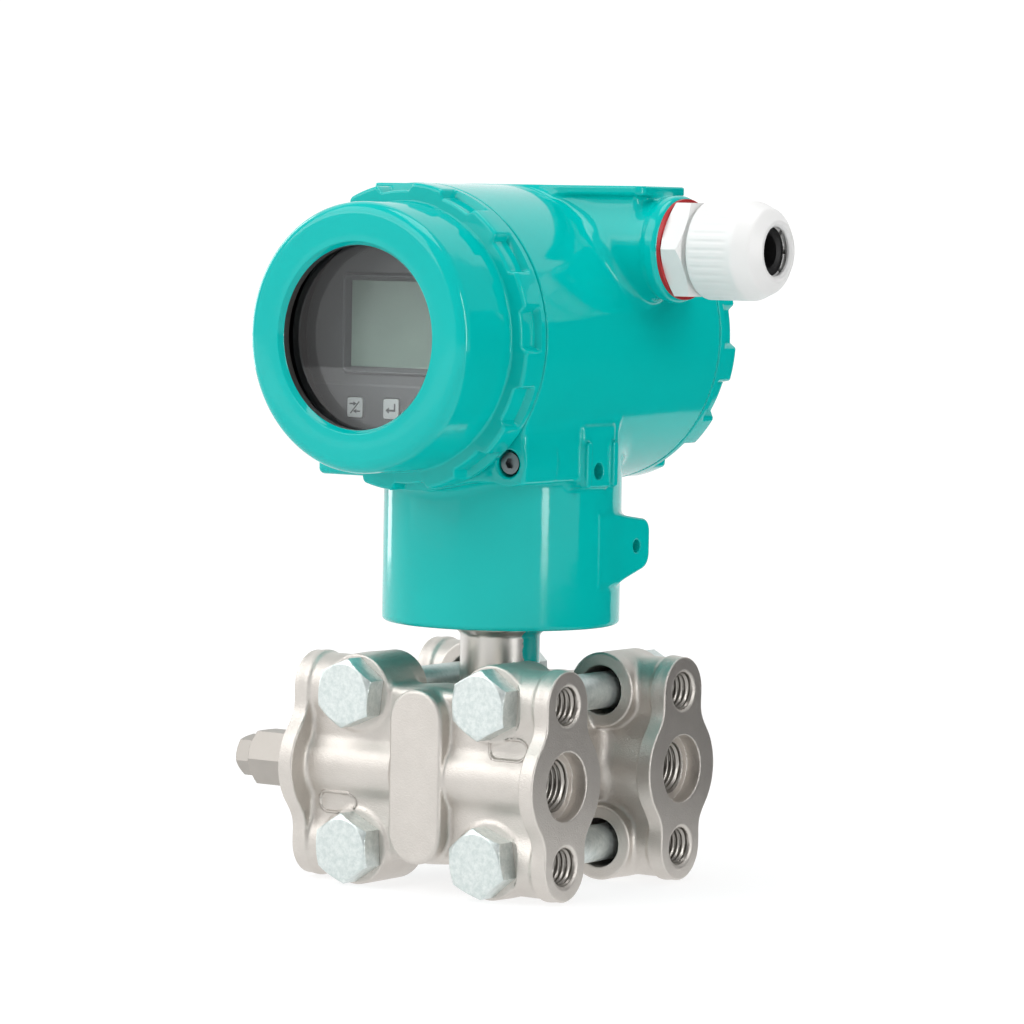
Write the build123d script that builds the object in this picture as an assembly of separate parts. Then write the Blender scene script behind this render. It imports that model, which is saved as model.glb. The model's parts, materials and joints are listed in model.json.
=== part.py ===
from build123d import *
import os
from math import cos, radians, sin

# Differential pressure transmitter: a painted die-cast housing with a display, on a stainless sensor
# that is clamped between two process flanges. Sizes are in millimetres. The model is drawn about the
# stem's vertical axis, at the height of the process ports: +X towards the ports, -Y towards the display.

# Process flanges
port_spacing = 54.0
tapped_spacing = 41.3
flange_length = 81.5
tapped_lobe_radius = 9.0
port_lobe_radius = 15.6
lobe_blend = 7.0
lobe_setback = 0.2
end_plate = 4.6
slab_inner = 20.0
slab_outer = 33.3
slab_half_height = 22.4
slab_blend = 4.0
rib_radius = 9.5
pad_half_width = 8.3
pad_half_height = 22.7
pad_corner = 8.2
pad_face = 37.6
hub_radius = 22.0
hub_face = 10.8
port_mouth_radius = 8.9
port_mouth_depth = 4.5
port_thread_radius = 6.9
port_thread_length = 14.0
passage_radius = 3.5
chamber_depth = 1.2
tapped_radius = 5.0
bracket_tapped_radius = 4.8
tapped_depth = 11.0

# Flange bolts and nuts
bolt_x = 21.5
bolt_z = 20.3
bolt_radius = 4.85
bolt_head_flats = 16.0
bolt_head_height = 6.4
nut_height = 8.0
bolt_end = 2.5
tunnel_radius = 6.5
boss_radius = 10.0
boss_inner = 16.0
boss_step = 0.6
boss_facing = 0.4
hex_bevel = 0.9
bolt_turn = 30

# Vent valves on the closed ends of the flanges
vent_shank_radius = 6.85
vent_shank_length = 12.0
vent_bottom_gap = 1.0
vent_neck = 4.5
vent_flats = 14.0
vent_length = 12.2
vent_bore_radius = 2.55
vent_screw_flats = 9.8
vent_screw_head = 5.0
vent_screw_gap = 0.7
vent_screw_radius = 2.5
vent_screw_reach = 15.0
vent_tip_radius = 0.8
vent_tip_length = 2.0

# Sensor between the flanges, and its stem
capsule_radius = 21.0
recess_radius = 15.6
diaphragm_radius = 12.6
diaphragm_thickness = 0.6
diaphragm_grooves = (4.0, 6.8, 9.6)
diaphragm_groove_width = 1.2
seal_rim = 0.6
stem_radius = 10.55
stem_collar_radius = 12.2
stem_collar = 2.4
stem_top = 60.0
header_radius = 6.0
header_height = 5.0

# Housing
axis_z = 113.7
front_seam = -37.7
rear_seam = 43.3
body_radius = 39.4
chamber_wall = 5.4
divider_front = -8.0
divider_rear = -4.0
thread_wall = 3.4
thread_depth = 11.0
wire_hole_radius = 7.0
wire_hole_margin = 3.0
neck_radius = 31.4
neck_bottom = 38.2
neck_floor = 8.0
neck_wall = 4.4
neck_roof = 74.0
neck_wire_y = -16.0
lower_block_half_width = 33.0
lower_block_bottom = 77.0
lower_block_rear = 6.0
lower_block_reach = 12.0
neck_reach = 10.0

# Cable entries and the plate on top
entry_y = 8.8
entry_z = 137.2
entry_standoff = 10.1
entry_radius = 13.1
lip_radius = 13.7
lip_length = 4.0
lip_bevel = 1.2
lip_bore_radius = 11.7
lip_bore_depth = 1.6
entry_thread_radius = 9.65
entry_thread_inner = 15.0
top_plate_half_length = 43.3
top_plate_half_width = 11.0
top_plate_top = 153.4
top_plate_thickness = 2.6
top_plate_corner = 2.5
top_web_setback = 1.3
top_web_half_length = 41.0
top_web_corner = 1.5

# Tab, earthing boss and cover lock on the housing
tab_face = 31.2
tab_thickness = 4.0
tab_end = 23.7
tab_end_low = 53.7
tab_end_high = 65.8
tab_root_low = 49.6
tab_root_high = 67.6
tab_corner = 1.8
tab_root_round = 3.0
tab_knee = 8.0
tab_hole_y = 17.5
tab_hole_z = 59.0
tab_hole_radius = 1.7
earth_y = -5.2
earth_bottom = 75.4
earth_top = 91.4
earth_half_width = 7.2
earth_face = 34.0
earth_root = 25.4
earth_corner = 1.2
earth_rib = 2.4
earth_rib_corner = 1.15
earth_rib_drop = 2.0
earth_rib_height = 1.3
earth_hole_z = 79.6
earth_hole_radius = 2.1
earth_hole_depth = 8.0
lock_standoff = 2.53
lock_angle = -48.29
lock_boss_radius = 5.3
lock_boss_length = 14.0
lock_bore_radius = 3.5
lock_bore_depth = 4.0
lock_head_radius = 2.75
lock_head_height = 3.0
lock_shank_radius = 1.5
lock_shank_length = 8.0
lock_socket_flats = 2.5
lock_socket_depth = 1.4

# Screwed covers
seam_gap = 0.25
rim_width = 2.3
lug_ring_width = 8.3
lug_height = 5.1
front_face = -66.3
rear_face = 56.0
face_round = 2.6
spigot_length = 9.5
spigot_wall = 4.95
thread_clearance = 0.05
notch_count = 12
notch_phase = 4.5
notch_half_angle = 6.6
notch_depth = 2.0
notch_flare = 0.7
notch_overrun = 3.0
cover_wall = 3.2
barrel_corner = 0.6
lug_edge = 0.7
rim_edge = 0.4
spigot_edge = 0.5
groove_edge = 0.3
ring_section = 0.84
ring_groove_depth = 1.75
ring_groove_width = 2.0

# Window in the front cover
window_lip = 4.2
aperture_bevel = 1.0
lip_thickness = 3.6
glass_step = 2.0
glass_thickness = 6.0
glass_edge = 0.5
gasket_thickness = 0.8
gasket_setback = 1.0
retainer_step = 1.5
retainer_width = 4.0
retainer_thickness = 3.2
retainer_slots = 4
retainer_slot_width = 3.0
retainer_slot_depth = 1.2

# Display
display_face = -47.2
bezel_gap = 3.0
bezel_thickness = 3.2
lcd_width = 28.0
lcd_height = 22.0
lcd_rise = 3.2
lcd_setback = 0.9
frame_border = 1.7
frame_rise = 0.5
frame_corner = 1.0
key_width = 4.8
key_height = 5.0
key_corner = 0.6
key_pitch = 11.45
key_z = 95.4
key_thickness = 2.4
key_rise = 0.3
key_clearance = 0.15
ledge_z = 101.2
board_thickness = 1.6
board_gap = 4.0
pillar_radius = 2.5
pillar_circle = 24.0
pillar_angles = (90, 210, 330)
module_gap = 1.0
module_front = -31.0
module_step_radius = 13.0
module_step = 4.0

# Terminal compartment
terminal_gap = 5.0
terminal_base = 4.0
terminal_block_width = 34.0
terminal_block_height = 15.0
terminal_block_depth = 12.0
terminal_count = 4
terminal_drop = 4.0
terminal_block_corner = 1.5
terminal_pitch = 8.2
terminal_screw_radius = 2.6
terminal_screw_height = 2.2
terminal_slot = 0.8
terminal_well_radius = 3.2
terminal_well_depth = 3.0

# Cable gland on the right entry and the plug in the left one
gland_flats = 24.0
gland_hex_thickness = 6.2
gland_washer_thickness = 2.6
gland_washer_radius = 11.4
gland_washer_rim = 13.0
gland_shank_radius = 9.6
gland_shank_length = 10.0
gland_bore_radius = 7.3
gland_barrel_radius = 10.4
gland_barrel_length = 10.0
gland_nut_radius = 12.8
gland_nut_gap = 1.4
gland_nut_length = 20.1
gland_nut_straight = 13.6
gland_nose_radius = 10.9
gland_nose_drop = 2.0
gland_mouth_radius = 6.35
gland_mouth_wall = 1.2
gland_mouth_bevel = 0.7
gland_nose_rounds = (0.5, 2.5, 2.0, 0.3)
gland_nut_clearance = 0.08
gland_splines = 36
gland_spline_depth = 0.35
gland_spline_width = 0.7
gland_spline_start = 1.5
gland_spline_end = 2.5
gland_turn = 0
claw_count = 8
claw_outer_radius = 9.1
claw_tip_radius = 7.75
claw_clearance = 0.4
barrel_relief = 0.5
claw_length = 12.0
claw_slot = 1.2
claw_ring = 3.0
cable_radius = 4.3
seal_side_gap = 0.3
seal_claw_gap = 0.1
seal_bevel = 0.8
plug_radius = 11.0
plug_head = 3.2
plug_socket_flats = 10.0
plug_socket_depth = 5.0
plug_shank_length = 11.0

# Fit between pieces that are joined, and how far shapes run past a face where they meet
fit = 0.02
lap = 1.0
port_y = port_spacing / 2
tapped_z = tapped_spacing / 2
half_length = flange_length / 2
boss_outer = slab_outer + boss_step
entry_reach = body_radius + entry_standoff
entry_thread_start = entry_reach - lip_bore_depth
window_seat = front_face + lip_thickness
compartment_radius = body_radius - chamber_wall
thread_radius = body_radius - thread_wall
spigot_radius = thread_radius - thread_clearance
cover_bore_radius = spigot_radius - spigot_wall
cover_barrel_radius = body_radius - lug_height
notch_floor_radius = body_radius - notch_depth
ring_groove_radius = spigot_radius - ring_groove_depth
retainer_radius = cover_bore_radius - retainer_step
glass_radius = retainer_radius - glass_step
aperture_radius = glass_radius - window_lip
bezel_radius = cover_bore_radius - bezel_gap
board_radius = cover_bore_radius - board_gap
module_radius = cover_bore_radius - module_gap
terminal_radius = compartment_radius - terminal_gap
wire_hole_x = compartment_radius - wire_hole_radius - wire_hole_margin
lock_x = (body_radius + lock_standoff) * cos(radians(lock_angle))
lock_z = axis_z + (body_radius + lock_standoff) * sin(radians(lock_angle))


def save(name, shape):
    """Writes one node, moved so that the origin is the centre of the process face."""
    export_step(Pos(-half_length, 0, 0) * shape, f"parts/{name}.step")


def slice_x(sketch, x0, x1):
    """Solid of a sketch drawn in (y, z), from x0 to x1."""
    return extrude(Plane(origin=(x0, 0, 0), x_dir=(0, 1, 0), z_dir=(1, 0, 0)) * sketch, amount=x1 - x0)


def slice_y(sketch, y0, y1):
    """Solid of a sketch drawn in (x, z), from y0 to y1."""
    return extrude(Plane(origin=(0, y1, 0), x_dir=(1, 0, 0), z_dir=(0, -1, 0)) * sketch, amount=y1 - y0)


def slice_z(sketch, z0, z1):
    """Solid of a sketch drawn in (x, y), from z0 to z1."""
    return extrude(Pos(0, 0, z0) * sketch, amount=z1 - z0)


def rod_x(y, z, radius, x0, x1):
    return slice_x(Pos(y, z) * Circle(radius), x0, x1)


def rod_y(x, z, radius, y0, y1):
    return slice_y(Pos(x, z) * Circle(radius), y0, y1)


def rod_z(x, y, radius, z0, z1):
    return slice_z(Pos(x, y) * Circle(radius), z0, z1)


def turned_x(points, radii=0):
    """Solid turned about the X axis from (x, radius) points, with a rounding at each corner."""
    outline = FilletPolyline(*points, radius=radii, close=True)
    return revolve(make_face(outline), axis=Axis.X)


def turned_y(points, radii=0):
    """Solid turned about the housing's axis from (radius, y) points, with a rounding at each corner."""
    outline = FilletPolyline(*points, radius=radii, close=True)
    return Pos(0, 0, axis_z) * revolve(make_face(outline), axis=Axis.Y)


def hexagon(flats, turn=0):
    return Rot(0, 0, turn) * RegularPolygon(radius=flats / 2, side_count=6, major_radius=False)


def corner_cone(flats, length, bevel, both=False):
    """Turned blank about +Z whose bevelled end rounds off the corners of a hexagon."""
    corner = flats / 3 ** 0.5
    points = [(0, 0), (corner, 0), (corner, length - bevel), (corner - 2 * bevel, length), (0, length)]
    if both:
        points[1:2] = [(corner - 2 * bevel, 0), (corner, bevel)]
    return revolve(make_face(Plane.XZ * Polyline(*points, close=True)), axis=Axis.Z)


def hex_prism(flats, length, turn=0, both=False):
    """Hexagonal head standing on +Z, with its outer corners bevelled."""
    return slice_z(hexagon(flats, turn), 0, length) & corner_cone(flats, length, hex_bevel, both)


def facing(origin, direction):
    """Location whose +Z points along the direction, with its X kept level or along +X."""
    flat = (1, 0, 0) if abs(direction[0]) < 0.5 else (0, 1, 0)
    return Plane(origin=origin, x_dir=flat, z_dir=direction)


# Process flange, drawn for the far side: outwards is +Y


def end_outline():
    """Three lobes in (y, z): one about the port and one about each tapped hole, with hollow blends."""
    lobes = Pos(port_y, 0) * Circle(port_lobe_radius)
    for side in (-1, 1):
        lobes += Pos(port_y, side * tapped_z) * Circle(tapped_lobe_radius)
    return offset(offset(lobes, lobe_blend), -lobe_blend)


def slab_outline():
    """Body of the flange in (x, z): a plate that dips between the four bolt bosses."""
    plate = Rectangle(2 * (half_length - end_plate / 2), 2 * slab_half_height)
    for x in (-bolt_x, bolt_x):
        for z in (-bolt_z, bolt_z):
            plate += Pos(x, z) * Circle(boss_radius)
    return offset(offset(plate, slab_blend), -slab_blend)


def port_bores():
    """Bores on the process end of a flange: the port with its mouth, and the two tapped holes."""
    floor = half_length - port_mouth_depth
    cuts = rod_x(port_y, 0, port_mouth_radius, floor, half_length + lap)
    cuts += rod_x(port_y, 0, port_thread_radius, floor - port_thread_length, floor)
    for z in (-tapped_z, tapped_z):
        cuts += rod_x(port_y, z, tapped_radius, half_length - tapped_depth, half_length + lap)
    return cuts


def vent_bores():
    """Bores on the vent end: a plain threaded port, and the two tapped holes for a bracket."""
    start = -half_length - lap
    floor = vent_shank_length - half_length + vent_bottom_gap
    cuts = rod_x(port_y, 0, vent_shank_radius + fit, start, floor)
    for z in (-tapped_z, tapped_z):
        cuts += rod_x(port_y, z, bracket_tapped_radius, start, tapped_depth - half_length)
    return cuts


def flange():
    """One process flange as cast, then machined."""
    body = slice_y(slab_outline(), slab_inner, slab_outer)
    body += rod_x(port_y, 0, rib_radius, -half_length, half_length)
    for end in (-1, 1):
        near, far = sorted((end * half_length, end * (half_length - end_plate)))
        body += slice_x(end_outline(), near, far)
        for z in (-tapped_z, tapped_z):
            low, high = sorted((end * bolt_x, end * half_length))
            body += rod_x(port_y, z, tapped_lobe_radius - lobe_setback, low, high)
    for x in (-bolt_x, bolt_x):
        for z in (-bolt_z, bolt_z):
            body += rod_y(x, z, boss_radius, boss_inner, boss_outer)
    body += rod_y(0, 0, hub_radius, hub_face, slab_outer)
    pad = RectangleRounded(2 * pad_half_width, 2 * pad_half_height, pad_corner)
    body += slice_y(pad, slab_inner, pad_face)
    for x in (-bolt_x, bolt_x):
        for z in (-bolt_z, bolt_z):
            body -= rod_y(x, z, tunnel_radius, boss_inner - lap, boss_outer + lap)
            body -= rod_y(x, z, boss_radius + boss_facing, boss_outer, pad_face)
    body -= port_bores()
    body -= vent_bores()
    body -= rod_x(port_y, 0, passage_radius, -half_length, half_length)
    body -= rod_y(0, 0, passage_radius, hub_face - lap, port_y)
    body -= rod_y(0, 0, recess_radius, hub_face - lap, hub_face + chamber_depth)
    return body


def flange_bolt():
    """Bolt along +Y, its head standing on the near flange's boss at y = -boss_outer."""
    reach = 2 * boss_outer + nut_height + bolt_end
    block = hex_prism(bolt_head_flats, bolt_head_height, bolt_turn)
    head = facing((0, -boss_outer, 0), (0, -1, 0)) * block
    shank = rod_y(0, 0, bolt_radius, -boss_outer, reach - boss_outer)
    return head + shank


def flange_nut():
    """Nut on the far flange's boss, bored to clear the bolt."""
    nut = facing((0, boss_outer, 0), (0, 1, 0)) * hex_prism(bolt_head_flats, nut_height, bolt_turn)
    return nut - rod_y(0, 0, bolt_radius + fit, boss_outer - lap, boss_outer + nut_height + lap)


def at_bolts(piece):
    """The piece repeated at the four bolt places."""
    return Compound([Pos(x, 0, z) * piece for x in (-bolt_x, bolt_x) for z in (-bolt_z, bolt_z)])


# Vent valves, drawn for y = 0 and pointing to -X


def vent_body():
    face = facing((-half_length, 0, 0), (-1, 0, 0))
    body = rod_z(0, 0, vent_shank_radius, -vent_shank_length, vent_neck)
    body += Pos(0, 0, vent_neck) * hex_prism(vent_flats, vent_length, 0, True)
    body -= rod_z(0, 0, vent_bore_radius, -vent_shank_length, vent_neck + vent_length)
    return face * body


def vent_screw():
    face = facing((-half_length - vent_neck - vent_length - vent_screw_gap, 0, 0), (-1, 0, 0))
    screw = hex_prism(vent_screw_flats, vent_screw_head, 0, True)
    screw += rod_z(0, 0, vent_screw_radius, -vent_screw_reach, 0)
    tip = Cone(vent_tip_radius, vent_screw_radius, vent_tip_length)
    screw += Pos(0, 0, -vent_screw_reach - vent_tip_length / 2) * tip
    return face * screw


# Sensor


def capsule():
    """Round cell between the flanges, with a shallow recess in each face for the diaphragm and seal."""
    body = rod_y(0, 0, capsule_radius, -hub_face, hub_face)
    for side in (-1, 1):
        near, far = sorted((side * hub_face, side * (hub_face - diaphragm_thickness)))
        body -= rod_y(0, 0, diaphragm_radius, near, far)
    return body


def diaphragm(side):
    """Thin plate in the cell's face, with ring grooves that let it flex."""
    near, far = sorted((side * (hub_face - diaphragm_thickness), side * hub_face))
    plate = rod_y(0, 0, diaphragm_radius - fit, near, far)
    low, high = sorted((side * (hub_face - diaphragm_thickness / 2), side * hub_face))
    for radius in diaphragm_grooves:
        plate -= rod_y(0, 0, radius + diaphragm_groove_width, low, high) - rod_y(0, 0, radius, low, high)
    return plate


def flange_seal(side):
    """Ring in the flange's recess that laps the edge of the diaphragm."""
    near, far = sorted((side * hub_face, side * (hub_face + chamber_depth)))
    ring = rod_y(0, 0, recess_radius - fit, near, far)
    return ring - rod_y(0, 0, diaphragm_radius - seal_rim, near, far)


def stem():
    """Tube that is welded on to the cell and carries the housing."""
    body = rod_z(0, 0, stem_radius, 0, stem_top)
    body += rod_z(0, 0, stem_collar_radius, neck_bottom - stem_collar, neck_bottom - fit)
    body += rod_z(0, 0, header_radius, stem_top, stem_top + header_height)
    return body - rod_y(0, 0, capsule_radius, -stem_radius - lap, stem_radius + lap)


# Housing


def compartment(radius, y0, y1):
    return rod_y(0, axis_z, radius, y0, y1)


def entry_arm(side):
    """Round arm that carries a cable entry, with a bevelled lip at its end."""
    lip_start = entry_reach - lip_length
    arm = turned_x([(0, 0), (lip_start, 0), (lip_start, entry_radius), (0, entry_radius)])
    lip = turned_x([(lip_start - lip_length, 0), (entry_reach, 0), (entry_reach, lip_radius - lip_bevel),
                    (entry_reach - lip_bevel, lip_radius), (lip_start, lip_radius),
                    (lip_start - lip_length, entry_radius)])
    arm = Pos(0, entry_y, entry_z) * (arm + lip)
    return arm if side > 0 else mirror(arm, Plane.YZ)


def top_plate():
    """Flat plate on top of the housing, and the web under it that is set back a little."""
    web_half_width = top_plate_half_width - top_web_setback
    plate = RectangleRounded(2 * top_plate_half_length, 2 * top_plate_half_width, top_plate_corner)
    web = RectangleRounded(2 * top_web_half_length, 2 * web_half_width, top_web_corner)
    body = slice_z(Pos(0, entry_y) * plate, top_plate_top - top_plate_thickness, top_plate_top)
    return body + slice_z(Pos(0, entry_y) * web, entry_z, top_plate_top - top_plate_thickness)


def tab():
    """Tapered lug beside the neck, with a small tapped hole."""
    knee = tab_hole_y - tab_knee
    outline = FilletPolyline((0, tab_root_low), (knee, tab_root_low), (tab_end, tab_end_low),
                             (tab_end, tab_end_high), (knee, tab_root_high), (0, tab_root_high),
                             radius=[0, tab_root_round, tab_corner, tab_corner, tab_root_round, 0],
                             close=True)
    return slice_x(make_face(outline), tab_face - tab_thickness, tab_face)


def earth_boss():
    """Pad with a raised rib down each side, on the right of the housing."""
    width = 2 * earth_half_width
    middle = (earth_bottom + earth_top) / 2
    height = earth_top - earth_bottom
    pad = Pos(earth_y, middle) * RectangleRounded(width, height, earth_corner)
    body = slice_x(pad, earth_root, earth_face)
    for side in (-1, 1):
        place = Pos(earth_y + side * (earth_half_width - earth_rib / 2), middle - earth_rib_drop)
        rib = RectangleRounded(earth_rib, height - 2 * earth_rib_drop, earth_rib_corner)
        body += slice_x(place * rib, earth_face - lap, earth_face + earth_rib_height)
    return body


def lock_ear():
    return rod_y(lock_x, lock_z, lock_boss_radius, front_seam, front_seam + lock_boss_length)


def lower_block():
    """Square shoulder between the round body and the neck."""
    block = Rectangle(2 * lower_block_half_width, lower_block_rear - front_seam)
    centre = (lower_block_rear + front_seam) / 2
    return slice_z(Pos(0, centre) * block, lower_block_bottom, axis_z - lower_block_reach)


def housing():
    body = compartment(body_radius, front_seam, rear_seam)
    body += rod_z(0, 0, neck_radius, neck_bottom, axis_z - neck_reach)
    body += lower_block()
    body += lock_ear()
    body += earth_boss()
    body += tab()
    body += top_plate()
    body += entry_arm(-1)
    body += entry_arm(1)
    body -= compartment(compartment_radius, front_seam, divider_front)
    body -= compartment(compartment_radius, divider_rear, rear_seam)
    body -= compartment(thread_radius, front_seam, front_seam + thread_depth)
    body -= compartment(thread_radius, rear_seam - thread_depth, rear_seam)
    body -= rod_y(wire_hole_x, axis_z, wire_hole_radius, divider_front, divider_rear)
    for side in (-1, 1):
        low, high = sorted((side * entry_thread_inner, side * entry_reach))
        body -= rod_x(entry_y, entry_z, entry_thread_radius, low, high)
        low, high = sorted((side * entry_thread_start, side * (entry_reach + lap)))
        body -= rod_x(entry_y, entry_z, lip_bore_radius, low, high)
    body -= rod_z(0, 0, neck_radius - neck_wall, neck_bottom + neck_floor, neck_roof)
    body -= rod_z(0, neck_wire_y, wire_hole_radius, neck_roof - lap, axis_z)
    body -= rod_z(0, 0, stem_radius + fit, neck_bottom - lap, neck_bottom + neck_floor + lap)
    body -= rod_x(tab_hole_y, tab_hole_z, tab_hole_radius, tab_face - tab_thickness - lap, tab_face + lap)
    earth_floor = earth_face - earth_hole_depth
    body -= rod_x(earth_y, earth_hole_z, earth_hole_radius, earth_floor, earth_face + lap)
    lock_floor = front_seam + lock_bore_depth
    body -= rod_y(lock_x, lock_z, lock_bore_radius, front_seam - lap, lock_floor)
    body -= rod_y(lock_x, lock_z, lock_shank_radius + fit, lock_floor, lock_floor + lock_shank_length)
    return body


# Covers, drawn with the seam at y = 0 and the face towards -Y


def notch(angle):
    """Cutter for one wrench notch in the lug ring, flared towards the outside."""
    low = notch_floor_radius
    high = body_radius + notch_overrun
    half = low * sin(radians(notch_half_angle))
    wide = half + (high - low) * notch_flare
    shape = make_face(Polyline((low, -half), (high, -wide), (high, wide), (low, half), close=True))
    cutter = slice_y(shape, -lug_ring_width - lap, -rim_width)
    return Rot(0, -angle, 0) * cutter


def cover_shell(depth, opening, inside):
    """Cover with its lug ring, barrel and threaded spigot, hollowed by the (radius, y) points inside."""
    outer = spigot_radius
    groove = ring_groove_radius
    outside = [(opening, -depth), (cover_barrel_radius, -depth), (cover_barrel_radius, -lug_ring_width),
               (body_radius, -lug_ring_width), (body_radius, 0), (groove, 0), (groove, ring_groove_width),
               (outer, ring_groove_width), (outer, spigot_length)]
    radii = [0, face_round, barrel_corner, lug_edge, rim_edge, 0, 0, groove_edge, spigot_edge]
    radii += [0] * len(inside)
    outline = FilletPolyline(*outside, *inside, radius=radii, close=True)
    shell = revolve(make_face(outline), axis=Axis.Y)
    for number in range(notch_count):
        shell -= notch(notch_phase + number * 360 / notch_count)
    return shell


def front_cover():
    """Cover with a bevelled window opening, and stepped seats for the glass and its retaining ring."""
    seam = front_seam - seam_gap
    seat = window_seat - seam
    glass_back = seat + gasket_thickness + glass_thickness
    ring_back = glass_back + retainer_thickness
    inside = [(cover_bore_radius, spigot_length), (cover_bore_radius, ring_back),
              (retainer_radius, ring_back), (retainer_radius, glass_back), (glass_radius, glass_back),
              (glass_radius, seat), (aperture_radius, seat),
              (aperture_radius, front_face - seam + aperture_bevel)]
    shell = cover_shell(seam - front_face, aperture_radius + aperture_bevel, inside)
    return Pos(0, seam, axis_z) * shell


def rear_cover():
    """Plain cover, hollow behind its thick face."""
    depth = rear_face - rear_seam - seam_gap
    floor = cover_wall - depth
    inside = [(cover_bore_radius, spigot_length), (cover_bore_radius, floor), (0, floor)]
    shell = Rot(0, 0, 180) * cover_shell(depth, 0, inside)
    return Pos(0, rear_seam + seam_gap, axis_z) * shell


def cover_ring(seam):
    """Round-section sealing ring that sits in the cover's groove, next to the housing's seam."""
    centre = ring_groove_radius + ring_section + fit
    section = Pos(centre, seam) * Circle(ring_section)
    return Pos(0, 0, axis_z) * revolve(section, axis=Axis.Y)


def window_parts():
    """Gasket, glass and retaining ring, stacked behind the cover's front lip."""
    glass_front = window_seat + gasket_thickness
    glass_back = glass_front + glass_thickness
    ring_back = glass_back + retainer_thickness
    radius = glass_radius - fit
    gasket = rod_y(0, axis_z, radius, window_seat, glass_front)
    gasket -= rod_y(0, axis_z, aperture_radius + gasket_setback, window_seat, glass_front)
    glass = turned_y([(0, glass_front), (radius, glass_front), (radius, glass_back), (0, glass_back)],
                     [0, glass_edge, glass_edge, 0])
    retainer = rod_y(0, axis_z, retainer_radius - fit, glass_back, ring_back)
    retainer -= rod_y(0, axis_z, retainer_radius - retainer_width, glass_back, ring_back)
    slot = Rectangle(2 * retainer_radius, retainer_slot_width)
    for number in range(retainer_slots // 2):
        turned = Pos(0, axis_z) * Rot(0, 0, number * 360 / retainer_slots) * slot
        retainer -= slice_y(turned, ring_back - retainer_slot_depth, ring_back)
    return glass, gasket, retainer


# Display


def key_places():
    return [(number * key_pitch, key_z) for number in (-1, 0, 1)]


def lcd_centre():
    return Pos(0, axis_z + lcd_rise)


def display_bezel():
    """Round front plate with a raised frame, the window of the display, a ledge and three key holes."""
    body = rod_y(0, axis_z, bezel_radius, display_face, display_face + bezel_thickness)
    border = 2 * frame_border
    frame = RectangleRounded(lcd_width + border, lcd_height + border, frame_corner)
    body += slice_y(lcd_centre() * frame, display_face - frame_rise, display_face + lap)
    below = Pos(0, ledge_z - bezel_radius) * Rectangle(2 * bezel_radius, 2 * bezel_radius)
    ledge = slice_y(below, display_face - frame_rise / 2, display_face + lap)
    body += ledge & rod_y(0, axis_z, bezel_radius, display_face - lap, display_face + lap)
    window = lcd_centre() * Rectangle(lcd_width, lcd_height)
    body -= slice_y(window, display_face - lap, display_face + bezel_thickness)
    margin = 2 * key_clearance
    hole = RectangleRounded(key_width + margin, key_height + margin, key_corner)
    for x, z in key_places():
        body -= slice_y(Pos(x, z) * hole, display_face - lap, display_face + bezel_thickness)
    return body


def lcd_panel():
    panel = lcd_centre() * Rectangle(lcd_width - 2 * fit, lcd_height - 2 * fit)
    return slice_y(panel, display_face + lcd_setback, display_face + bezel_thickness)


def display_key(x, z):
    key = Pos(x, z) * RectangleRounded(key_width, key_height, key_corner)
    front = display_face - frame_rise / 2 - key_rise
    return slice_y(key, front, front + key_thickness)


def pillar_places():
    turns = [radians(angle) for angle in pillar_angles]
    return [(pillar_circle * cos(turn), axis_z + pillar_circle * sin(turn)) for turn in turns]


def display_board():
    back = display_face + bezel_thickness
    return rod_y(0, axis_z, board_radius, back, back + board_thickness)


def electronics_module():
    """Potted round module on the divider, with three pillars that carry the display."""
    body = rod_y(0, axis_z, module_radius, module_front, divider_front)
    body += rod_y(0, axis_z, module_step_radius, module_front - module_step, module_front)
    board_back = display_face + bezel_thickness + board_thickness
    for x, z in pillar_places():
        body += rod_y(x, z, pillar_radius, board_back, module_front)
    return body


# Terminal block


def terminal_places():
    first = -(terminal_count - 1) / 2 * terminal_pitch
    return [(first + number * terminal_pitch, axis_z - terminal_drop) for number in range(terminal_count)]


def terminal_block():
    """Round base on the divider with a raised block and a well for each screw."""
    body = rod_y(0, axis_z, terminal_radius, divider_rear, divider_rear + terminal_base)
    outline = RectangleRounded(terminal_block_width, terminal_block_height, terminal_block_corner)
    top = divider_rear + terminal_base + terminal_block_depth
    body += slice_y(Pos(0, axis_z - terminal_drop) * outline, divider_rear, top)
    for x, z in terminal_places():
        body -= rod_y(x, z, terminal_well_radius, top - terminal_well_depth, top)
    body -= rod_y(wire_hole_x, axis_z, wire_hole_radius, divider_rear, top)
    return body


def terminal_screws():
    top = divider_rear + terminal_base + terminal_block_depth - terminal_well_depth
    screws = []
    for x, z in terminal_places():
        head = rod_y(x, z, terminal_screw_radius, top, top + terminal_screw_height)
        slot = Pos(x, z) * Rectangle(2 * terminal_screw_radius + lap, terminal_slot)
        screws.append(head - slice_y(slot, top + terminal_screw_height / 2, top + terminal_screw_height))
    return Compound(screws)


# Cover lock screw


def cover_lock_screw():
    floor = front_seam + lock_bore_depth
    screw = rod_y(lock_x, lock_z, lock_head_radius, floor - lock_head_height, floor)
    screw += rod_y(lock_x, lock_z, lock_shank_radius, floor, floor + lock_shank_length)
    socket = Pos(lock_x, lock_z) * hexagon(lock_socket_flats)
    return screw - slice_y(socket, floor - lock_head_height, floor - lock_head_height + lock_socket_depth)


# Cable gland, placed along +X from the right entry


def on_entry(piece):
    return Pos(0, entry_y, entry_z) * piece


washer_start = entry_thread_start
hex_start = washer_start + gland_washer_thickness
hex_end = hex_start + gland_hex_thickness
nut_start = hex_end + gland_nut_gap
nut_end = nut_start + gland_nut_length
barrel_end = hex_end + gland_barrel_length
claw_start = barrel_end - claw_ring
claw_end = claw_start + claw_length


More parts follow.
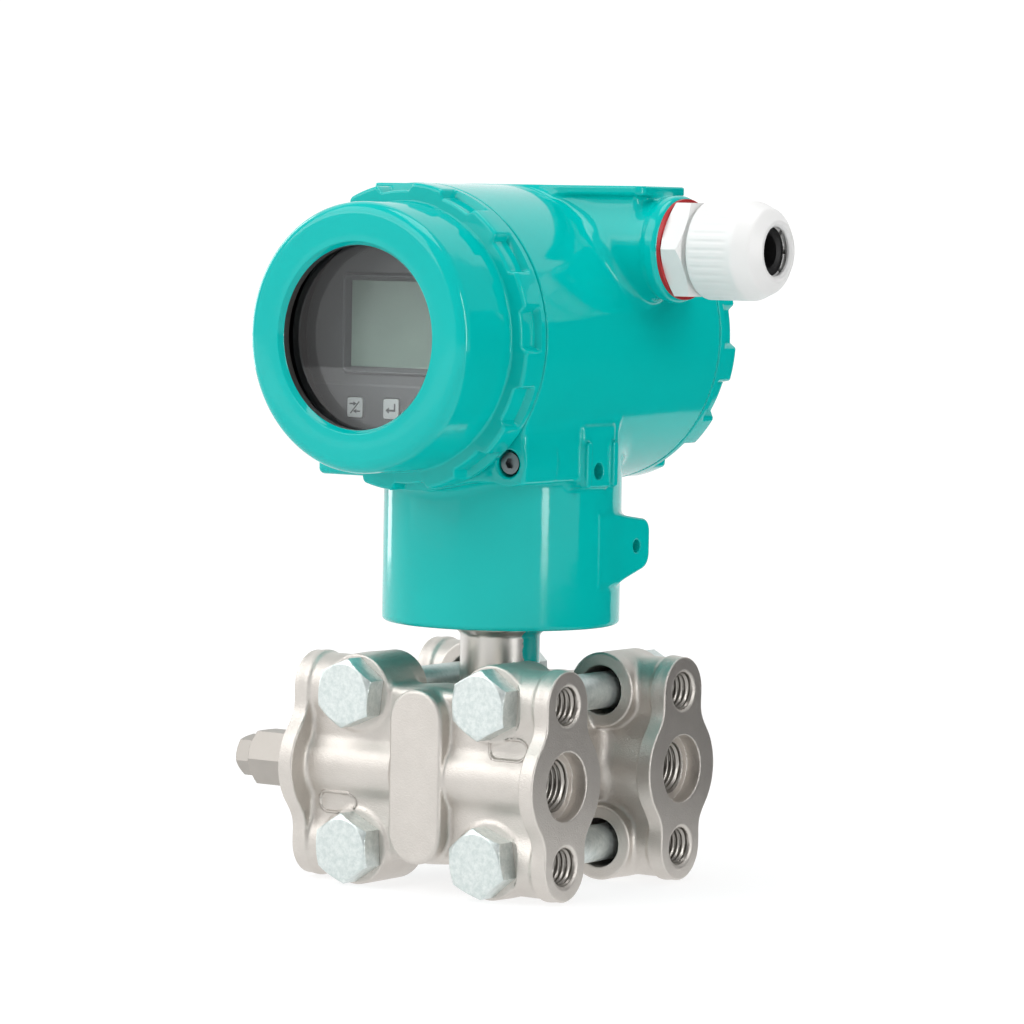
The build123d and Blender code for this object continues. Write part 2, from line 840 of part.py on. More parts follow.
def gland_washer():
    """Sealing washer that seats in the entry's recess, with a rim over the lip."""
    ring = rod_x(0, 0, gland_washer_radius, washer_start, hex_start)
    ring += rod_x(0, 0, gland_washer_rim, entry_reach, hex_start)
    return on_entry(ring - rod_x(0, 0, gland_shank_radius + fit, washer_start, hex_start))


def gland_body():
    grip = hex_prism(gland_flats, gland_hex_thickness, gland_turn, True)
    body = facing((hex_start, 0, 0), (1, 0, 0)) * grip
    body += rod_x(0, 0, gland_shank_radius, washer_start - gland_shank_length, hex_start)
    body += rod_x(0, 0, gland_barrel_radius, hex_end, barrel_end)
    body -= rod_x(0, 0, gland_bore_radius, washer_start - gland_shank_length, hex_end)
    return on_entry(body - rod_x(0, 0, claw_outer_radius + gland_nut_clearance, hex_end, barrel_end))


def gland_nut():
    """Domed nut: straight splined barrel, then a round nose with a bevelled mouth."""
    bore = gland_barrel_radius + gland_nut_clearance
    straight_end = nut_start + gland_nut_straight
    points = [(nut_start, bore), (nut_start, gland_nut_radius), (straight_end, gland_nut_radius),
              (nut_end - gland_nose_drop, gland_nose_radius),
              (nut_end, gland_mouth_radius + 2 * gland_mouth_bevel),
              (nut_end, gland_mouth_radius + gland_mouth_bevel),
              (nut_end - gland_mouth_bevel, gland_mouth_radius),
              (nut_end - gland_mouth_wall, gland_mouth_radius),
              (claw_end + claw_clearance, claw_tip_radius + claw_clearance),
              (barrel_end + 2 * claw_clearance + barrel_relief, claw_outer_radius + claw_clearance),
              (barrel_end + barrel_relief, bore)]
    sharp = len(points) - 1 - len(gland_nose_rounds)
    nut = turned_x(points, [0, *gland_nose_rounds] + [0] * sharp)
    groove = Pos(gland_nut_radius, 0) * Rectangle(2 * gland_spline_depth, gland_spline_width)
    for number in range(gland_splines):
        turned = Rot(0, 0, number * 360 / gland_splines) * groove
        nut -= slice_x(turned, nut_start + gland_spline_start, straight_end - gland_spline_end)
    return on_entry(nut)


def gland_claw():
    """Ring of fingers that the nut closes on the rubber seal."""
    points = [(claw_start, gland_bore_radius), (claw_start, claw_outer_radius),
              (barrel_end, claw_outer_radius), (claw_end, claw_tip_radius), (claw_end, gland_mouth_radius)]
    claw = turned_x(points)
    for number in range(claw_count // 2):
        slot = Rot(0, 0, number * 360 / claw_count) * Rectangle(4 * claw_outer_radius, claw_slot)
        claw -= slice_x(slot, claw_start + claw_ring, claw_end)
    return on_entry(claw)


def gland_seal():
    """Rubber bush that grips the cable, seated inside the claw."""
    points = [(hex_end, cable_radius), (hex_end, gland_bore_radius - seal_side_gap),
              (claw_start, gland_bore_radius - seal_claw_gap),
              (claw_end, gland_mouth_radius - seal_claw_gap),
              (claw_end, cable_radius + seal_bevel), (claw_end - seal_bevel, cable_radius)]
    return on_entry(turned_x(points))


def blanking_plug():
    """Plug in the left entry, with a hexagon socket in its head."""
    face = facing((-entry_thread_start, entry_y, entry_z), (-1, 0, 0))
    plug = rod_z(0, 0, plug_radius, 0, plug_head)
    plug += rod_z(0, 0, gland_shank_radius, -plug_shank_length, 0)
    plug -= slice_z(hexagon(plug_socket_flats), plug_head - plug_socket_depth, plug_head)
    return face * plug


def build():
    os.makedirs("parts", exist_ok=True)
    far_flange = flange()
    save("low_flange", far_flange)
    save("high_flange", mirror(far_flange, Plane.XZ))
    save("flange_bolts", at_bolts(flange_bolt()))
    save("flange_nuts", at_bolts(flange_nut()))
    for name, side in (("high", -1), ("low", 1)):
        save(f"vent_body_{name}", Pos(0, side * port_y, 0) * vent_body())
        save(f"vent_screw_{name}", Pos(0, side * port_y, 0) * vent_screw())
        save(f"diaphragm_{name}", diaphragm(side))
        save(f"flange_seal_{name}", flange_seal(side))
    save("sensor_capsule", capsule())
    save("sensor_stem", stem())
    save("housing", housing())
    save("front_cover", front_cover())
    save("rear_cover", rear_cover())
    save("front_cover_ring", cover_ring(front_seam - seam_gap + ring_groove_width / 2))
    save("rear_cover_ring", cover_ring(rear_seam + seam_gap - ring_groove_width / 2))
    glass, gasket, retainer = window_parts()
    save("window_glass", glass)
    save("window_gasket", gasket)
    save("window_retainer", retainer)
    save("display_bezel", display_bezel())
    save("lcd_panel", lcd_panel())
    save("display_board", display_board())
    for name, place in zip(("left", "middle", "right"), key_places()):
        save(f"key_{name}", display_key(*place))
    save("electronics_module", electronics_module())
    save("terminal_block", terminal_block())
    save("terminal_screws", terminal_screws())
    save("cover_lock_screw", cover_lock_screw())
    save("gland_washer", gland_washer())
    save("gland_body", gland_body())
    save("gland_nut", gland_nut())
    save("gland_claw", gland_claw())
    save("gland_seal", gland_seal())
    save("blanking_plug", blanking_plug())


build()
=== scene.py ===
"""Studio scene of a differential pressure transmitter: castings, machined parts, gland and display.

Shapes are worked out in millimetres about the stem's axis, at the height of the process ports, with
+X towards the ports, -Y towards the display and +Z up, and are put into the row's frame in metres.
"""
from __future__ import annotations

import json
import logging
from dataclasses import dataclass, field
from enum import Enum
from typing import Any, Callable, Sequence

import bmesh
import bpy
import numpy as np
from mathutils import Matrix, Vector

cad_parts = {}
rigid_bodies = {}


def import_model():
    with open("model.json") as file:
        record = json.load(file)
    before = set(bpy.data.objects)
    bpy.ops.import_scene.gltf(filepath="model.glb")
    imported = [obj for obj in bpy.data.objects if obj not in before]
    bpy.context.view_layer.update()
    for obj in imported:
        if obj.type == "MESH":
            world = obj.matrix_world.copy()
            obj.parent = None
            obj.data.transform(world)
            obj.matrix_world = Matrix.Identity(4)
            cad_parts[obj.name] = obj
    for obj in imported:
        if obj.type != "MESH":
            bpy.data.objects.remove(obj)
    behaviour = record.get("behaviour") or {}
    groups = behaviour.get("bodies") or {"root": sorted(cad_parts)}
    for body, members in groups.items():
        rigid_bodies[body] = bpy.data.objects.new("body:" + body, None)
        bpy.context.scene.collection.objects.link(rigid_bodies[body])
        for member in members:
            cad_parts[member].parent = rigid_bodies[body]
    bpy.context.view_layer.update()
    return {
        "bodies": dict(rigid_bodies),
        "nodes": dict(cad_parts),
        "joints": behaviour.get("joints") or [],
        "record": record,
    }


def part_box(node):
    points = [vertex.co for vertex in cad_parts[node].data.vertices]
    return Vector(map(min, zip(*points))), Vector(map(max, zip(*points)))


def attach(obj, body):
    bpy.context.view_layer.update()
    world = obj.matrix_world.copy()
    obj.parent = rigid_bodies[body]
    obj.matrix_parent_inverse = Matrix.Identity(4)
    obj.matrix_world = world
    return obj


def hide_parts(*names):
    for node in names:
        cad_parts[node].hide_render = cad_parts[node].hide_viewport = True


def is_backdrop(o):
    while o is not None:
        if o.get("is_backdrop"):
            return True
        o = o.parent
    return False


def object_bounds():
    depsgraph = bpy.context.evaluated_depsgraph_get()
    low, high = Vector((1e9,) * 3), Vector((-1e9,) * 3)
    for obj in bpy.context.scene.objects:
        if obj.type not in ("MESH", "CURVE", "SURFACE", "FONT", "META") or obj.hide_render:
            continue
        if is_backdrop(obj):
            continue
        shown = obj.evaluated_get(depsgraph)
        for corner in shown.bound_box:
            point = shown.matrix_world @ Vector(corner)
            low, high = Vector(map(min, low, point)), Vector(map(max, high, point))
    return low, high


LOG = logging.getLogger("transmitter")
MM = 0.001
COS_45 = 0.7071
GRID_MARGIN = 3.2

Array = np.ndarray
Mesh = bpy.types.Mesh
Material = bpy.types.Material
Socket = bpy.types.NodeSocket
Points = Sequence[Array]
Field = Callable[[Points], Array]
Pair = tuple[float, float]
Triple = tuple[float, float, float]
Corners = Sequence[Triple]
Outline = Callable[[Array, Array], Array]
Wave = Callable[[Array, Array, Array], Array]


class Axis(Enum):
    """The row's axes, by their place in a point."""

    X = 0
    Y = 1
    Z = 2

    def others(self) -> tuple[int, int]:
        """The other two axes, in rising order."""
        return tuple(k for k in range(3) if k != self.value)


# Solids as signed distances


def blended_least(a: Array, b: Array, blend: float) -> Array:
    """Lesser of two distances, with a hollow fillet where they are within blend of each other.

    Formula: min(a, b) less h squared over four times the blend, where h is blend less |a - b|, or zero.

    Args:
        a: First distance.
        b: Second distance.
        blend: Reach of the fillet in millimetres; zero gives a plain minimum.

    Returns:
        The distance of the joined solids.
    """
    if blend <= 0:
        return np.minimum(a, b)
    near = np.maximum(blend - np.abs(a - b), 0)
    return np.minimum(a, b) - near * near / (4 * blend)


def rounded_edge(side: Array, end: Array, edge: float) -> Array:
    """Distance to what lies within two walls, with the edge between them rounded.

    Formula: length of the overshoot past the walls moved in by the rounding, less the rounding.

    Args:
        side: Distance to the one wall.
        end: Distance to the other.
        edge: Rounding radius where they meet.

    Returns:
        The distance.
    """
    if edge <= 0:
        return np.maximum(side, end)
    a, b = side + edge, end + edge
    return np.minimum(np.maximum(a, b), 0) + np.hypot(np.maximum(a, 0), np.maximum(b, 0)) - edge


@dataclass(frozen=True)
class Solid:
    """A solid given by its signed distance in millimetres, negative inside."""

    distance: Field

    def join(self, other: Solid, blend: float = 0.0) -> Solid:
        """This solid and another, with a hollow fillet between them."""
        return Solid(lambda p: blended_least(self.distance(p), other.distance(p), blend))

    def cut(self, other: Solid, blend: float = 0.0) -> Solid:
        """This solid less another, with a rounded rim."""
        return Solid(lambda p: -blended_least(-self.distance(p), other.distance(p), blend))

    def within(self, other: Solid, blend: float = 0.0) -> Solid:
        """What this solid shares with another, with a rounded rim."""
        return Solid(lambda p: -blended_least(-self.distance(p), -other.distance(p), blend))

    def mirrored(self, *axes: Axis) -> Solid:
        """The part at positive coordinates, repeated on the other side of each axis's zero plane."""
        places = [axis.value for axis in axes]
        return Solid(lambda p: self.distance([np.abs(c) if k in places else c for k, c in enumerate(p)]))


def union(*solids: Solid) -> Solid:
    """Several solids as one, with plain edges where they meet."""
    whole = solids[0]
    for other in solids[1:]:
        whole = whole.join(other)
    return whole


def along(axis: Axis, start: float, end: float) -> Field:
    """Distance to the slab between two coordinates of an axis."""
    middle, half = (start + end) / 2, abs(end - start) / 2
    return lambda p: np.abs(p[axis.value] - middle) - half


def disc(centre: Pair, radius: float) -> Outline:
    """Outline of a disc: distance to its centre less its radius."""
    return lambda u, v: np.hypot(u - centre[0], v - centre[1]) - radius


def rounded_rectangle(centre: Pair, half: Pair, corner: float) -> Outline:
    """Outline of a rectangle with round corners, from its centre and half its sides."""
    return lambda u, v: rounded_edge(np.abs(u - centre[0]) - half[0], np.abs(v - centre[1]) - half[1], corner)


def lobes(discs: Sequence[tuple[Pair, float]], blend: float) -> Outline:
    """Outline of several discs that are joined by hollow blends.

    Args:
        discs: Centre and radius of each.
        blend: Reach of the blends.

    Returns:
        The outline's distance.
    """
    def distance(u: Array, v: Array) -> Array:
        """Blended least distance to the discs."""
        total = disc(*discs[0])(u, v)
        for spot in discs[1:]:
            total = blended_least(total, disc(*spot)(u, v), blend)
        return total
    return distance


def plate(axis: Axis, outline: Outline, start: float, end: float, edge: float = 0.0) -> Solid:
    """A flat outline carried along an axis.

    Args:
        axis: Direction that it is carried in.
        outline: Distance on the other two axes, in rising order.
        start: One end's coordinate.
        end: The other end's coordinate.
        edge: Rounding of its end edges.

    Returns:
        The plate.
    """
    u, v = axis.others()
    span = along(axis, start, end)
    return Solid(lambda p: rounded_edge(outline(p[u], p[v]), span(p), edge))


def rod(axis: Axis, centre: Pair, radius: float, start: float, end: float, edge: float = 0.0) -> Solid:
    """A round rod about a centre on the other two axes, between two ends."""
    return plate(axis, disc(centre, radius), start, end, edge)


def countersink(axis: Axis, centre: Pair, radius: float, face: float, depth: float, outwards: int) -> Solid:
    """A 45 degree funnel that is wider than the bore by its depth at the face."""
    u, v = axis.others()
    bore = disc(centre, radius)
    return Solid(lambda p: (bore(p[u], p[v]) - depth - outwards * (p[axis.value] - face)) * COS_45)


def block(low: Triple, high: Triple, edge: float = 0.0) -> Solid:
    """A box between two corners, with all its edges rounded."""
    def distance(p: Points) -> Array:
        """Length of the overshoot past the shrunken box, less the rounding."""
        over = [np.abs(p[k] - (low[k] + high[k]) / 2) - (high[k] - low[k]) / 2 + edge for k in range(3)]
        outside = np.sqrt(sum(np.maximum(o, 0) ** 2 for o in over))
        return outside + np.minimum(np.maximum(np.maximum(over[0], over[1]), over[2]), 0) - edge
    return Solid(distance)


# Meshes


def gradient(solid: Solid, at: Array, reach: float = 0.02) -> Array:
    """Unit direction in which the distance grows, by central differences at each point."""
    slope = np.empty_like(at)
    for k in range(3):
        ahead, behind = at.copy(), at.copy()
        ahead[:, k] += reach
        behind[:, k] -= reach
        slope[:, k] = solid.distance(list(ahead.T)) - solid.distance(list(behind.T))
    return slope / np.maximum(np.linalg.norm(slope, axis=1, keepdims=True), 1e-9)


def settle(solid: Solid, at: Array, step: float, rounds: int = 2) -> Array:
    """Moves points on to the solid's surface: each goes back along the slope by its distance.

    Args:
        solid: The solid.
        at: Points near its surface.
        step: Grid step, of which half is the longest move.
        rounds: How often the points are moved.

    Returns:
        The moved points.
    """
    for _ in range(rounds):
        depth = np.clip(solid.distance(list(at.T)), -step / 2, step / 2)
        at = at - depth[:, None] * gradient(solid, at)
    return at


def surface_net(solid: Solid, low: Triple, high: Triple, step: float) -> tuple[Array, Array]:
    """Closed mesh of a solid's surface on a regular grid.

    Each grid cell that the surface passes through gets one point, the mean of where the surface cuts the
    cell's edges. Each cut edge gives one face, which joins the points of the four cells round it.

    Args:
        solid: The solid.
        low: Lowest corner of the box that holds it.
        high: Highest corner.
        step: Size of a grid cell.

    Returns:
        Points and four-cornered faces.
    """
    lines = [np.arange(a - GRID_MARGIN * step, b + (GRID_MARGIN + 1) * step, step) for a, b in zip(low, high)]
    shape = tuple(len(line) for line in lines)
    grid = np.meshgrid(*[line.astype(np.float32) for line in lines], indexing="ij", sparse=True)
    value = np.broadcast_to(solid.distance(grid), shape)
    inside = value < 0
    cells, marks, faces = [], [], []
    count = 0
    for axis in range(3):
        head, tail = [slice(None)] * 3, [slice(None)] * 3
        head[axis], tail[axis] = slice(None, -1), slice(1, None)
        crossed = inside[tuple(head)] != inside[tuple(tail)]
        place = np.argwhere(crossed)
        here, there = value[tuple(head)][crossed], value[tuple(tail)][crossed]
        point = place.astype(np.float64)
        point[:, axis] += here / (here - there)
        ring = np.empty((len(place), 4), dtype=np.int64)
        for corner, (a, b) in enumerate(((0, 0), (1, 0), (1, 1), (0, 1))):
            cell = place.copy()
            cell[:, (axis + 1) % 3] -= a
            cell[:, (axis + 2) % 3] -= b
            cells.append(np.ravel_multi_index(cell.T, shape))
            marks.append(point)
            ring[:, corner] = count + np.arange(len(place))
            count += len(place)
        ring[here >= 0] = ring[here >= 0][:, ::-1]
        faces.append(ring)
    _, index = np.unique(np.concatenate(cells), return_inverse=True)
    marks = np.concatenate(marks)
    share = np.bincount(index)
    points = np.stack([np.bincount(index, marks[:, k]) / share for k in range(3)], axis=1)
    points = points * step + np.array([line[0] for line in lines])
    return points, index[np.concatenate(faces)]


class Workshop:
    """Turns arrays of points and faces into finished objects in the row's frame."""

    def __init__(self, frame: dict[str, Any]) -> None:
        """Takes the stem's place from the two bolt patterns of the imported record."""
        mounts = {mount["name"]: mount for mount in frame["record"]["mounts"]}
        ends = np.array(mounts["process_face"]["pos_m"]), np.array(mounts["bracket_face"]["pos_m"])
        self.stem = (ends[0] + ends[1]) / 2

    def to_row(self, points: Array) -> Array:
        """Points about the stem in millimetres, as points of the row in metres."""
        return points * MM + self.stem

    def read(self, items: Any, key: str) -> Array:
        """Places of a mesh's vertices or faces, about the stem in millimetres."""
        flat = np.empty(len(items) * 3, dtype=np.float32)
        items.foreach_get(key, flat)
        return (flat.reshape(-1, 3).astype(np.float64) - self.stem) / MM

    def span(self, node: str) -> tuple[Array, Array]:
        """Lowest and highest corner of a CAD node about the stem, in millimetres."""
        low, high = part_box(node)
        return (np.array(low) - self.stem) / MM, (np.array(high) - self.stem) / MM

    def mesh(self, name: str, points: Array, faces: Array) -> Mesh:
        """A mesh from an array of points and an array of faces with equal numbers of corners."""
        mesh = bpy.data.meshes.new(name)
        mesh.vertices.add(len(points))
        mesh.vertices.foreach_set("co", self.to_row(points).astype(np.float32).ravel())
        mesh.loops.add(faces.size)
        mesh.loops.foreach_set("vertex_index", faces.astype(np.int32).ravel())
        mesh.polygons.add(len(faces))
        mesh.polygons.foreach_set("loop_start", np.arange(0, faces.size, faces.shape[1], dtype=np.int32))
        mesh.update(calc_edges=True)
        mesh.validate()
        return mesh

    @staticmethod
    def link(name: str, data: Any) -> bpy.types.Object:
        """An object in the scene that shows a mesh, lamp or camera."""
        piece = bpy.data.objects.new(name, data)
        bpy.context.collection.objects.link(piece)
        return piece

    def cast(self, name: str, solid: Solid, node: str, step: float, keep: float, flip: bool = False) -> Mesh:
        """Mesh of a solid, thinned where it is flat, with its points and shading from the distance itself.

        Args:
            name: Name of the mesh.
            solid: The solid.
            node: CAD node whose box holds it.
            step: Grid step in millimetres.
            keep: Share of the triangles that stay.
            flip: True gives the mirror image across y = 0.

        Returns:
            The mesh.
        """
        low, high = self.span(node)
        step = step * 1.0
        points, faces = surface_net(solid, low, high, step)
        rough = self.mesh(name + "_rough", settle(solid, points, step), faces)
        carrier = self.link(name + "_rough", rough)
        carrier.modifiers.new("thin", "DECIMATE").ratio = keep
        graph = bpy.context.evaluated_depsgraph_get()
        mesh = bpy.data.meshes.new_from_object(carrier.evaluated_get(graph))
        bpy.data.objects.remove(carrier)
        bpy.data.meshes.remove(rough)
        at = settle(solid, self.read(mesh.vertices, "co"), step, 1)
        normal = gradient(solid, at)
        if flip:
            at[:, 1] *= -1
            normal[:, 1] *= -1
            mesh.flip_normals()
        mesh.vertices.foreach_set("co", self.to_row(at).astype(np.float32).ravel())
        mesh.update()
        mesh.shade_smooth()
        mesh.normals_split_custom_set_from_vertices(normal)
        mesh.name = name
        return mesh

    def turned(self, name: str, axis: Axis, centre: Pair, profile: Array, around: int,
               wave: Wave | None = None, sharp: float = 38.0, first: float = 0.0) -> Mesh:
        """Closed profile carried round an axis, with its radius changed by a wave.

        A point at angle t and profile place (a, r) lies at a along the axis, and at r times cosine t and
        r times sine t on the other two. A profile that starts and ends on the axis is closed by a pole.

        Args:
            name: Name of the mesh.
            axis: The axis.
            centre: Its place on the other two axes, in rising order.
            profile: Places along the axis and radii, one pair a row.
            around: Number of steps round the axis.
            wave: New radius from angle, place along the axis and radius.
            sharp: Angle in degrees past which an edge stays sharp.
            first: Angle of the first step.

        Returns:
            The mesh.
        """
        turn = first + np.linspace(0, 2 * np.pi, around, endpoint=False)[:, None]
        place, radius = profile[None, :, 0], profile[None, :, 1]
        bent = radius + 0 * turn if wave is None else wave(turn, place + 0 * turn, radius + 0 * turn)
        u, v = axis.others()
        points = np.empty((around, len(profile), 3))
        points[..., axis.value] = place
        points[..., u] = centre[0] + bent * np.cos(turn)
        points[..., v] = centre[1] + bent * np.sin(turn)
        return self.lattice(name, points, True, profile[0, 1] > 1e-6, sharp)

    def lattice(self, name: str, points: Array, round_u: bool = False, round_v: bool = False,
                sharp: float = 38.0) -> Mesh:
        """Mesh over a grid of points, with doubles merged and normals outwards.

        Args:
            name: Name of the mesh.
            points: Grid of points.
            round_u: True closes the grid's first direction.
            round_v: True closes its second direction.
            sharp: Angle in degrees past which an edge stays sharp.

        Returns:
            The mesh.
        """
        m, n = points.shape[:2]
        a = np.arange(m if round_u else m - 1)[:, None]
        b = np.arange(n if round_v else n - 1)[None, :]
        c, d = (a + 1) % m, (b + 1) % n
        faces = np.stack([a * n + b, c * n + b, c * n + d, a * n + d], axis=-1).reshape(-1, 4)
        mesh = self.mesh(name, points.reshape(-1, 3), faces)
        self.mend(mesh)
        mesh.shade_smooth()
        mesh.set_sharp_from_angle(angle=np.radians(sharp))
        return mesh

    @staticmethod
    def mend(mesh: Mesh) -> None:
        """Merges doubled points and turns all faces outwards."""
        work = bmesh.new()
        work.from_mesh(mesh)
        bmesh.ops.remove_doubles(work, verts=work.verts, dist=2e-6)
        bmesh.ops.dissolve_degenerate(work, edges=work.edges, dist=1e-6)
        bmesh.ops.recalc_face_normals(work, faces=work.faces)
        work.to_mesh(mesh)
        work.free()


def filleted(corners: Corners, steps: int = 5, closed: bool = False) -> Array:
    """Profile through (place, radius, rounding) corners, each corner replaced by its arc.

    The arc starts and ends at the rounding's tangent length from the corner, which is the rounding over the
    tangent of half the corner's angle, and it follows a circle about the point where the normals meet.

    Args:
        corners: Corners with their rounding radii.
        steps: Points on each arc.
        closed: True joins the last corner to the first.

    Returns:
        Points of the profile.
    """
    spots = np.array([c[:2] for c in corners], dtype=float)
    out = []
    for k, (_, _, rounding) in enumerate(corners):
        if rounding <= 0 or (k in (0, len(corners) - 1) and not closed):
            out.append(spots[k])
            continue
        back = spots[k - 1] - spots[k]
        on = spots[(k + 1) % len(spots)] - spots[k]
        room = min(np.linalg.norm(back), np.linalg.norm(on)) * 0.49
        back, on = back / np.linalg.norm(back), on / np.linalg.norm(on)
        half = np.arccos(np.clip(back @ on, -1, 1)) / 2
        reach = min(rounding / np.tan(half), room)
        radius = reach * np.tan(half)
        centre = spots[k] + (back + on) / np.linalg.norm(back + on) * radius / np.sin(half)
        start, end = spots[k] + back * reach - centre, spots[k] + on * reach - centre
        share = np.linspace(0, 1, steps)[:, None]
        sweep = np.pi - 2 * half
        arc = (np.sin((1 - share) * sweep) * start + np.sin(share * sweep) * end) / np.sin(sweep)
        out.extend(centre + arc)
    return np.array(out)


def smooth(value: Array, low: float, high: float) -> Array:
    """Ramp from 0 at low to 1 at high, with level ends: 3 t squared less 2 t cubed."""
    t = np.clip((value - low) / (high - low), 0, 1)
    return t * t * (3 - 2 * t)


# Materials


class Wire:
    """One number inside a material; Python arithmetic on it adds Math nodes."""

    def __init__(self, sheet: Sheet, socket: Socket) -> None:
        """Keeps the material's sheet and the socket that gives the number."""
        self.sheet, self.socket = sheet, socket

    def math(self, operation: str, *values: Wire | float) -> Wire:
        """A Math node on this number and the values given."""
        node = self.sheet.node("Math", dict(enumerate((self, *values))), operation=operation)
        return Wire(self.sheet, node.outputs[0])

    def __add__(self, other: Wire | float) -> Wire:
        """Sum."""
        return self.math("ADD", other)

    def __mul__(self, other: Wire | float) -> Wire:
        """Product."""
        return self.math("MULTIPLY", other)

    def __sub__(self, other: Wire | float) -> Wire:
        """Difference."""
        return self.math("SUBTRACT", other)

    def __rsub__(self, other: Wire | float) -> Wire:
        """Difference the other way round."""
        return self * -1.0 + other

    def ramp(self, low: float, high: float) -> Wire:
        """0 at low and below, 1 at high and above, with level ends."""
        ends = {"Value": self, "From Min": low, "From Max": high, "To Min": 0.0, "To Max": 1.0}
        return Wire(self.sheet, self.sheet.node("MapRange", ends, interpolation_type="SMOOTHSTEP").outputs[0])


class Sheet:
    """A material's nodes, with a Principled shader whose constants sit on its own sockets."""

    def __init__(self, name: str) -> None:
        """Makes an empty material with its output."""
        self.material = bpy.data.materials.new(name)
        self.material.use_nodes = True
        self.tree = self.material.node_tree
        self.tree.nodes.clear()
        self.output = self.node("OutputMaterial")
        self.place = self.node("TexCoord").outputs["Object"]
        self.split = self.node("SeparateXYZ", {"Vector": self.place})

    def node(self, kind: str, inputs: dict[Any, Any] | None = None, **settings: Any) -> bpy.types.Node:
        """Adds a node.

        Args:
            kind: Its type, without the words that all shader nodes start with.
            inputs: Values or links of its sockets, by name or number.
            **settings: Its own settings, set first.

        Returns:
            The node.
        """
        node = self.tree.nodes.new("ShaderNode" + kind)
        for key, value in settings.items():
            setattr(node, key, value)
        for key, value in (inputs or {}).items():
            value = value.socket if isinstance(value, Wire) else value
            if isinstance(value, Socket):
                self.tree.links.new(value, node.inputs[key])
            else:
                node.inputs[key].default_value = value
        return node

    def part(self, axis: Axis) -> Wire:
        """One coordinate of the place on the piece, in metres."""
        return Wire(self, self.split.outputs[axis.value])

    def noise(self, size: float, detail: float = 2.0, stretch: Sequence[float] = (1, 1, 1),
              rough: float = 0.5) -> Wire:
        """Noise over the piece.

        Args:
            size: Size of its features in millimetres.
            detail: Number of finer layers.
            stretch: How much longer the features are along each axis.
            rough: Weight of each finer layer.

        Returns:
            A number about one half.
        """
        scale = [1.0 / (size * MM * s) for s in stretch]
        moved = self.node("Mapping", {"Vector": self.place, "Scale": scale}).outputs[0]
        inputs = {"Vector": moved, "Scale": 1.0, "Detail": detail, "Roughness": rough}
        return Wire(self, self.node("TexNoise", inputs).outputs["Fac"])

    def mix(self, factor: Wire, first: Any, second: Any) -> Socket:
        """Colour between two, each a constant or a socket."""
        ends = [end if isinstance(end, Socket) else (*end, 1.0) for end in (first, second)]
        return self.node("Mix", {0: factor, 6: ends[0], 7: ends[1]}, data_type="RGBA").outputs[2]

    def bump(self, height: Wire, depth: float) -> Socket:
        """Normal that is tilted by a height of 0 to 1 over that depth in millimetres."""
        return self.node("Bump", {"Height": height, "Distance": depth * MM, "Strength": 1.0}).outputs[0]

    def shader(self, kind: str, **inputs: Any) -> Socket:
        """A shader of a kind; underscores in the names of its inputs stand for spaces."""
        return self.node(kind, {key.replace("_", " "): value for key, value in inputs.items()}).outputs[0]

    def close(self, shader: Socket) -> Material:
        """The material, with that shader at its output."""
        self.tree.links.new(shader, self.output.inputs[0])
        return self.material

    def principled(self, **inputs: Any) -> Material:
        """Closes the material with a Principled shader."""
        return self.close(self.shader("BsdfPrincipled", **inputs))

    def blended(self, factor: Any, first: Socket, second: Socket) -> Material:
        """Closes the material with two shaders mixed by a factor."""
        return self.close(self.node("MixShader", {0: factor, 1: first, 2: second}).outputs[0])


def srgb(red: int, green: int, blue: int) -> Triple:
    """Linear colour from the three numbers of a screen colour."""
    return tuple(float(((c / 255 + 0.055) / 1.055) ** 2.4 if c > 10 else c / 3294.6) for c in (red, green, blue))


def darker(colour: Triple, share: float) -> Triple:
    """A share of a colour's light."""
    return tuple(c * share for c in colour)


def between(low: float, high: float, share: Wire) -> Wire:
    """Number between two numbers."""
    return share * (high - low) + low


@dataclass(frozen=True)
class GlossPaint:
    """Thick glossy paint with a faint orange peel."""

    colour: Triple = srgb(0, 189, 183)
    shade: Triple = srgb(0, 177, 172)
    peel: float = 0.016
    gloss: Pair = (0.05, 0.11)
    specular: float = 0.27

    def material(self) -> Material:
        """Paint whose tone and gloss drift a little over the casting."""
        sheet = Sheet("gloss_teal_paint")
        peel = sheet.noise(1.9, 2) * 0.6 + sheet.noise(9.0, 2) * 2.4
        return sheet.principled(Base_Color=sheet.mix(sheet.noise(28, 3), self.shade, self.colour),
                                Roughness=between(*self.gloss, sheet.noise(6, 3)),
                                Specular_IOR_Level=self.specular, Normal=sheet.bump(peel, self.peel))


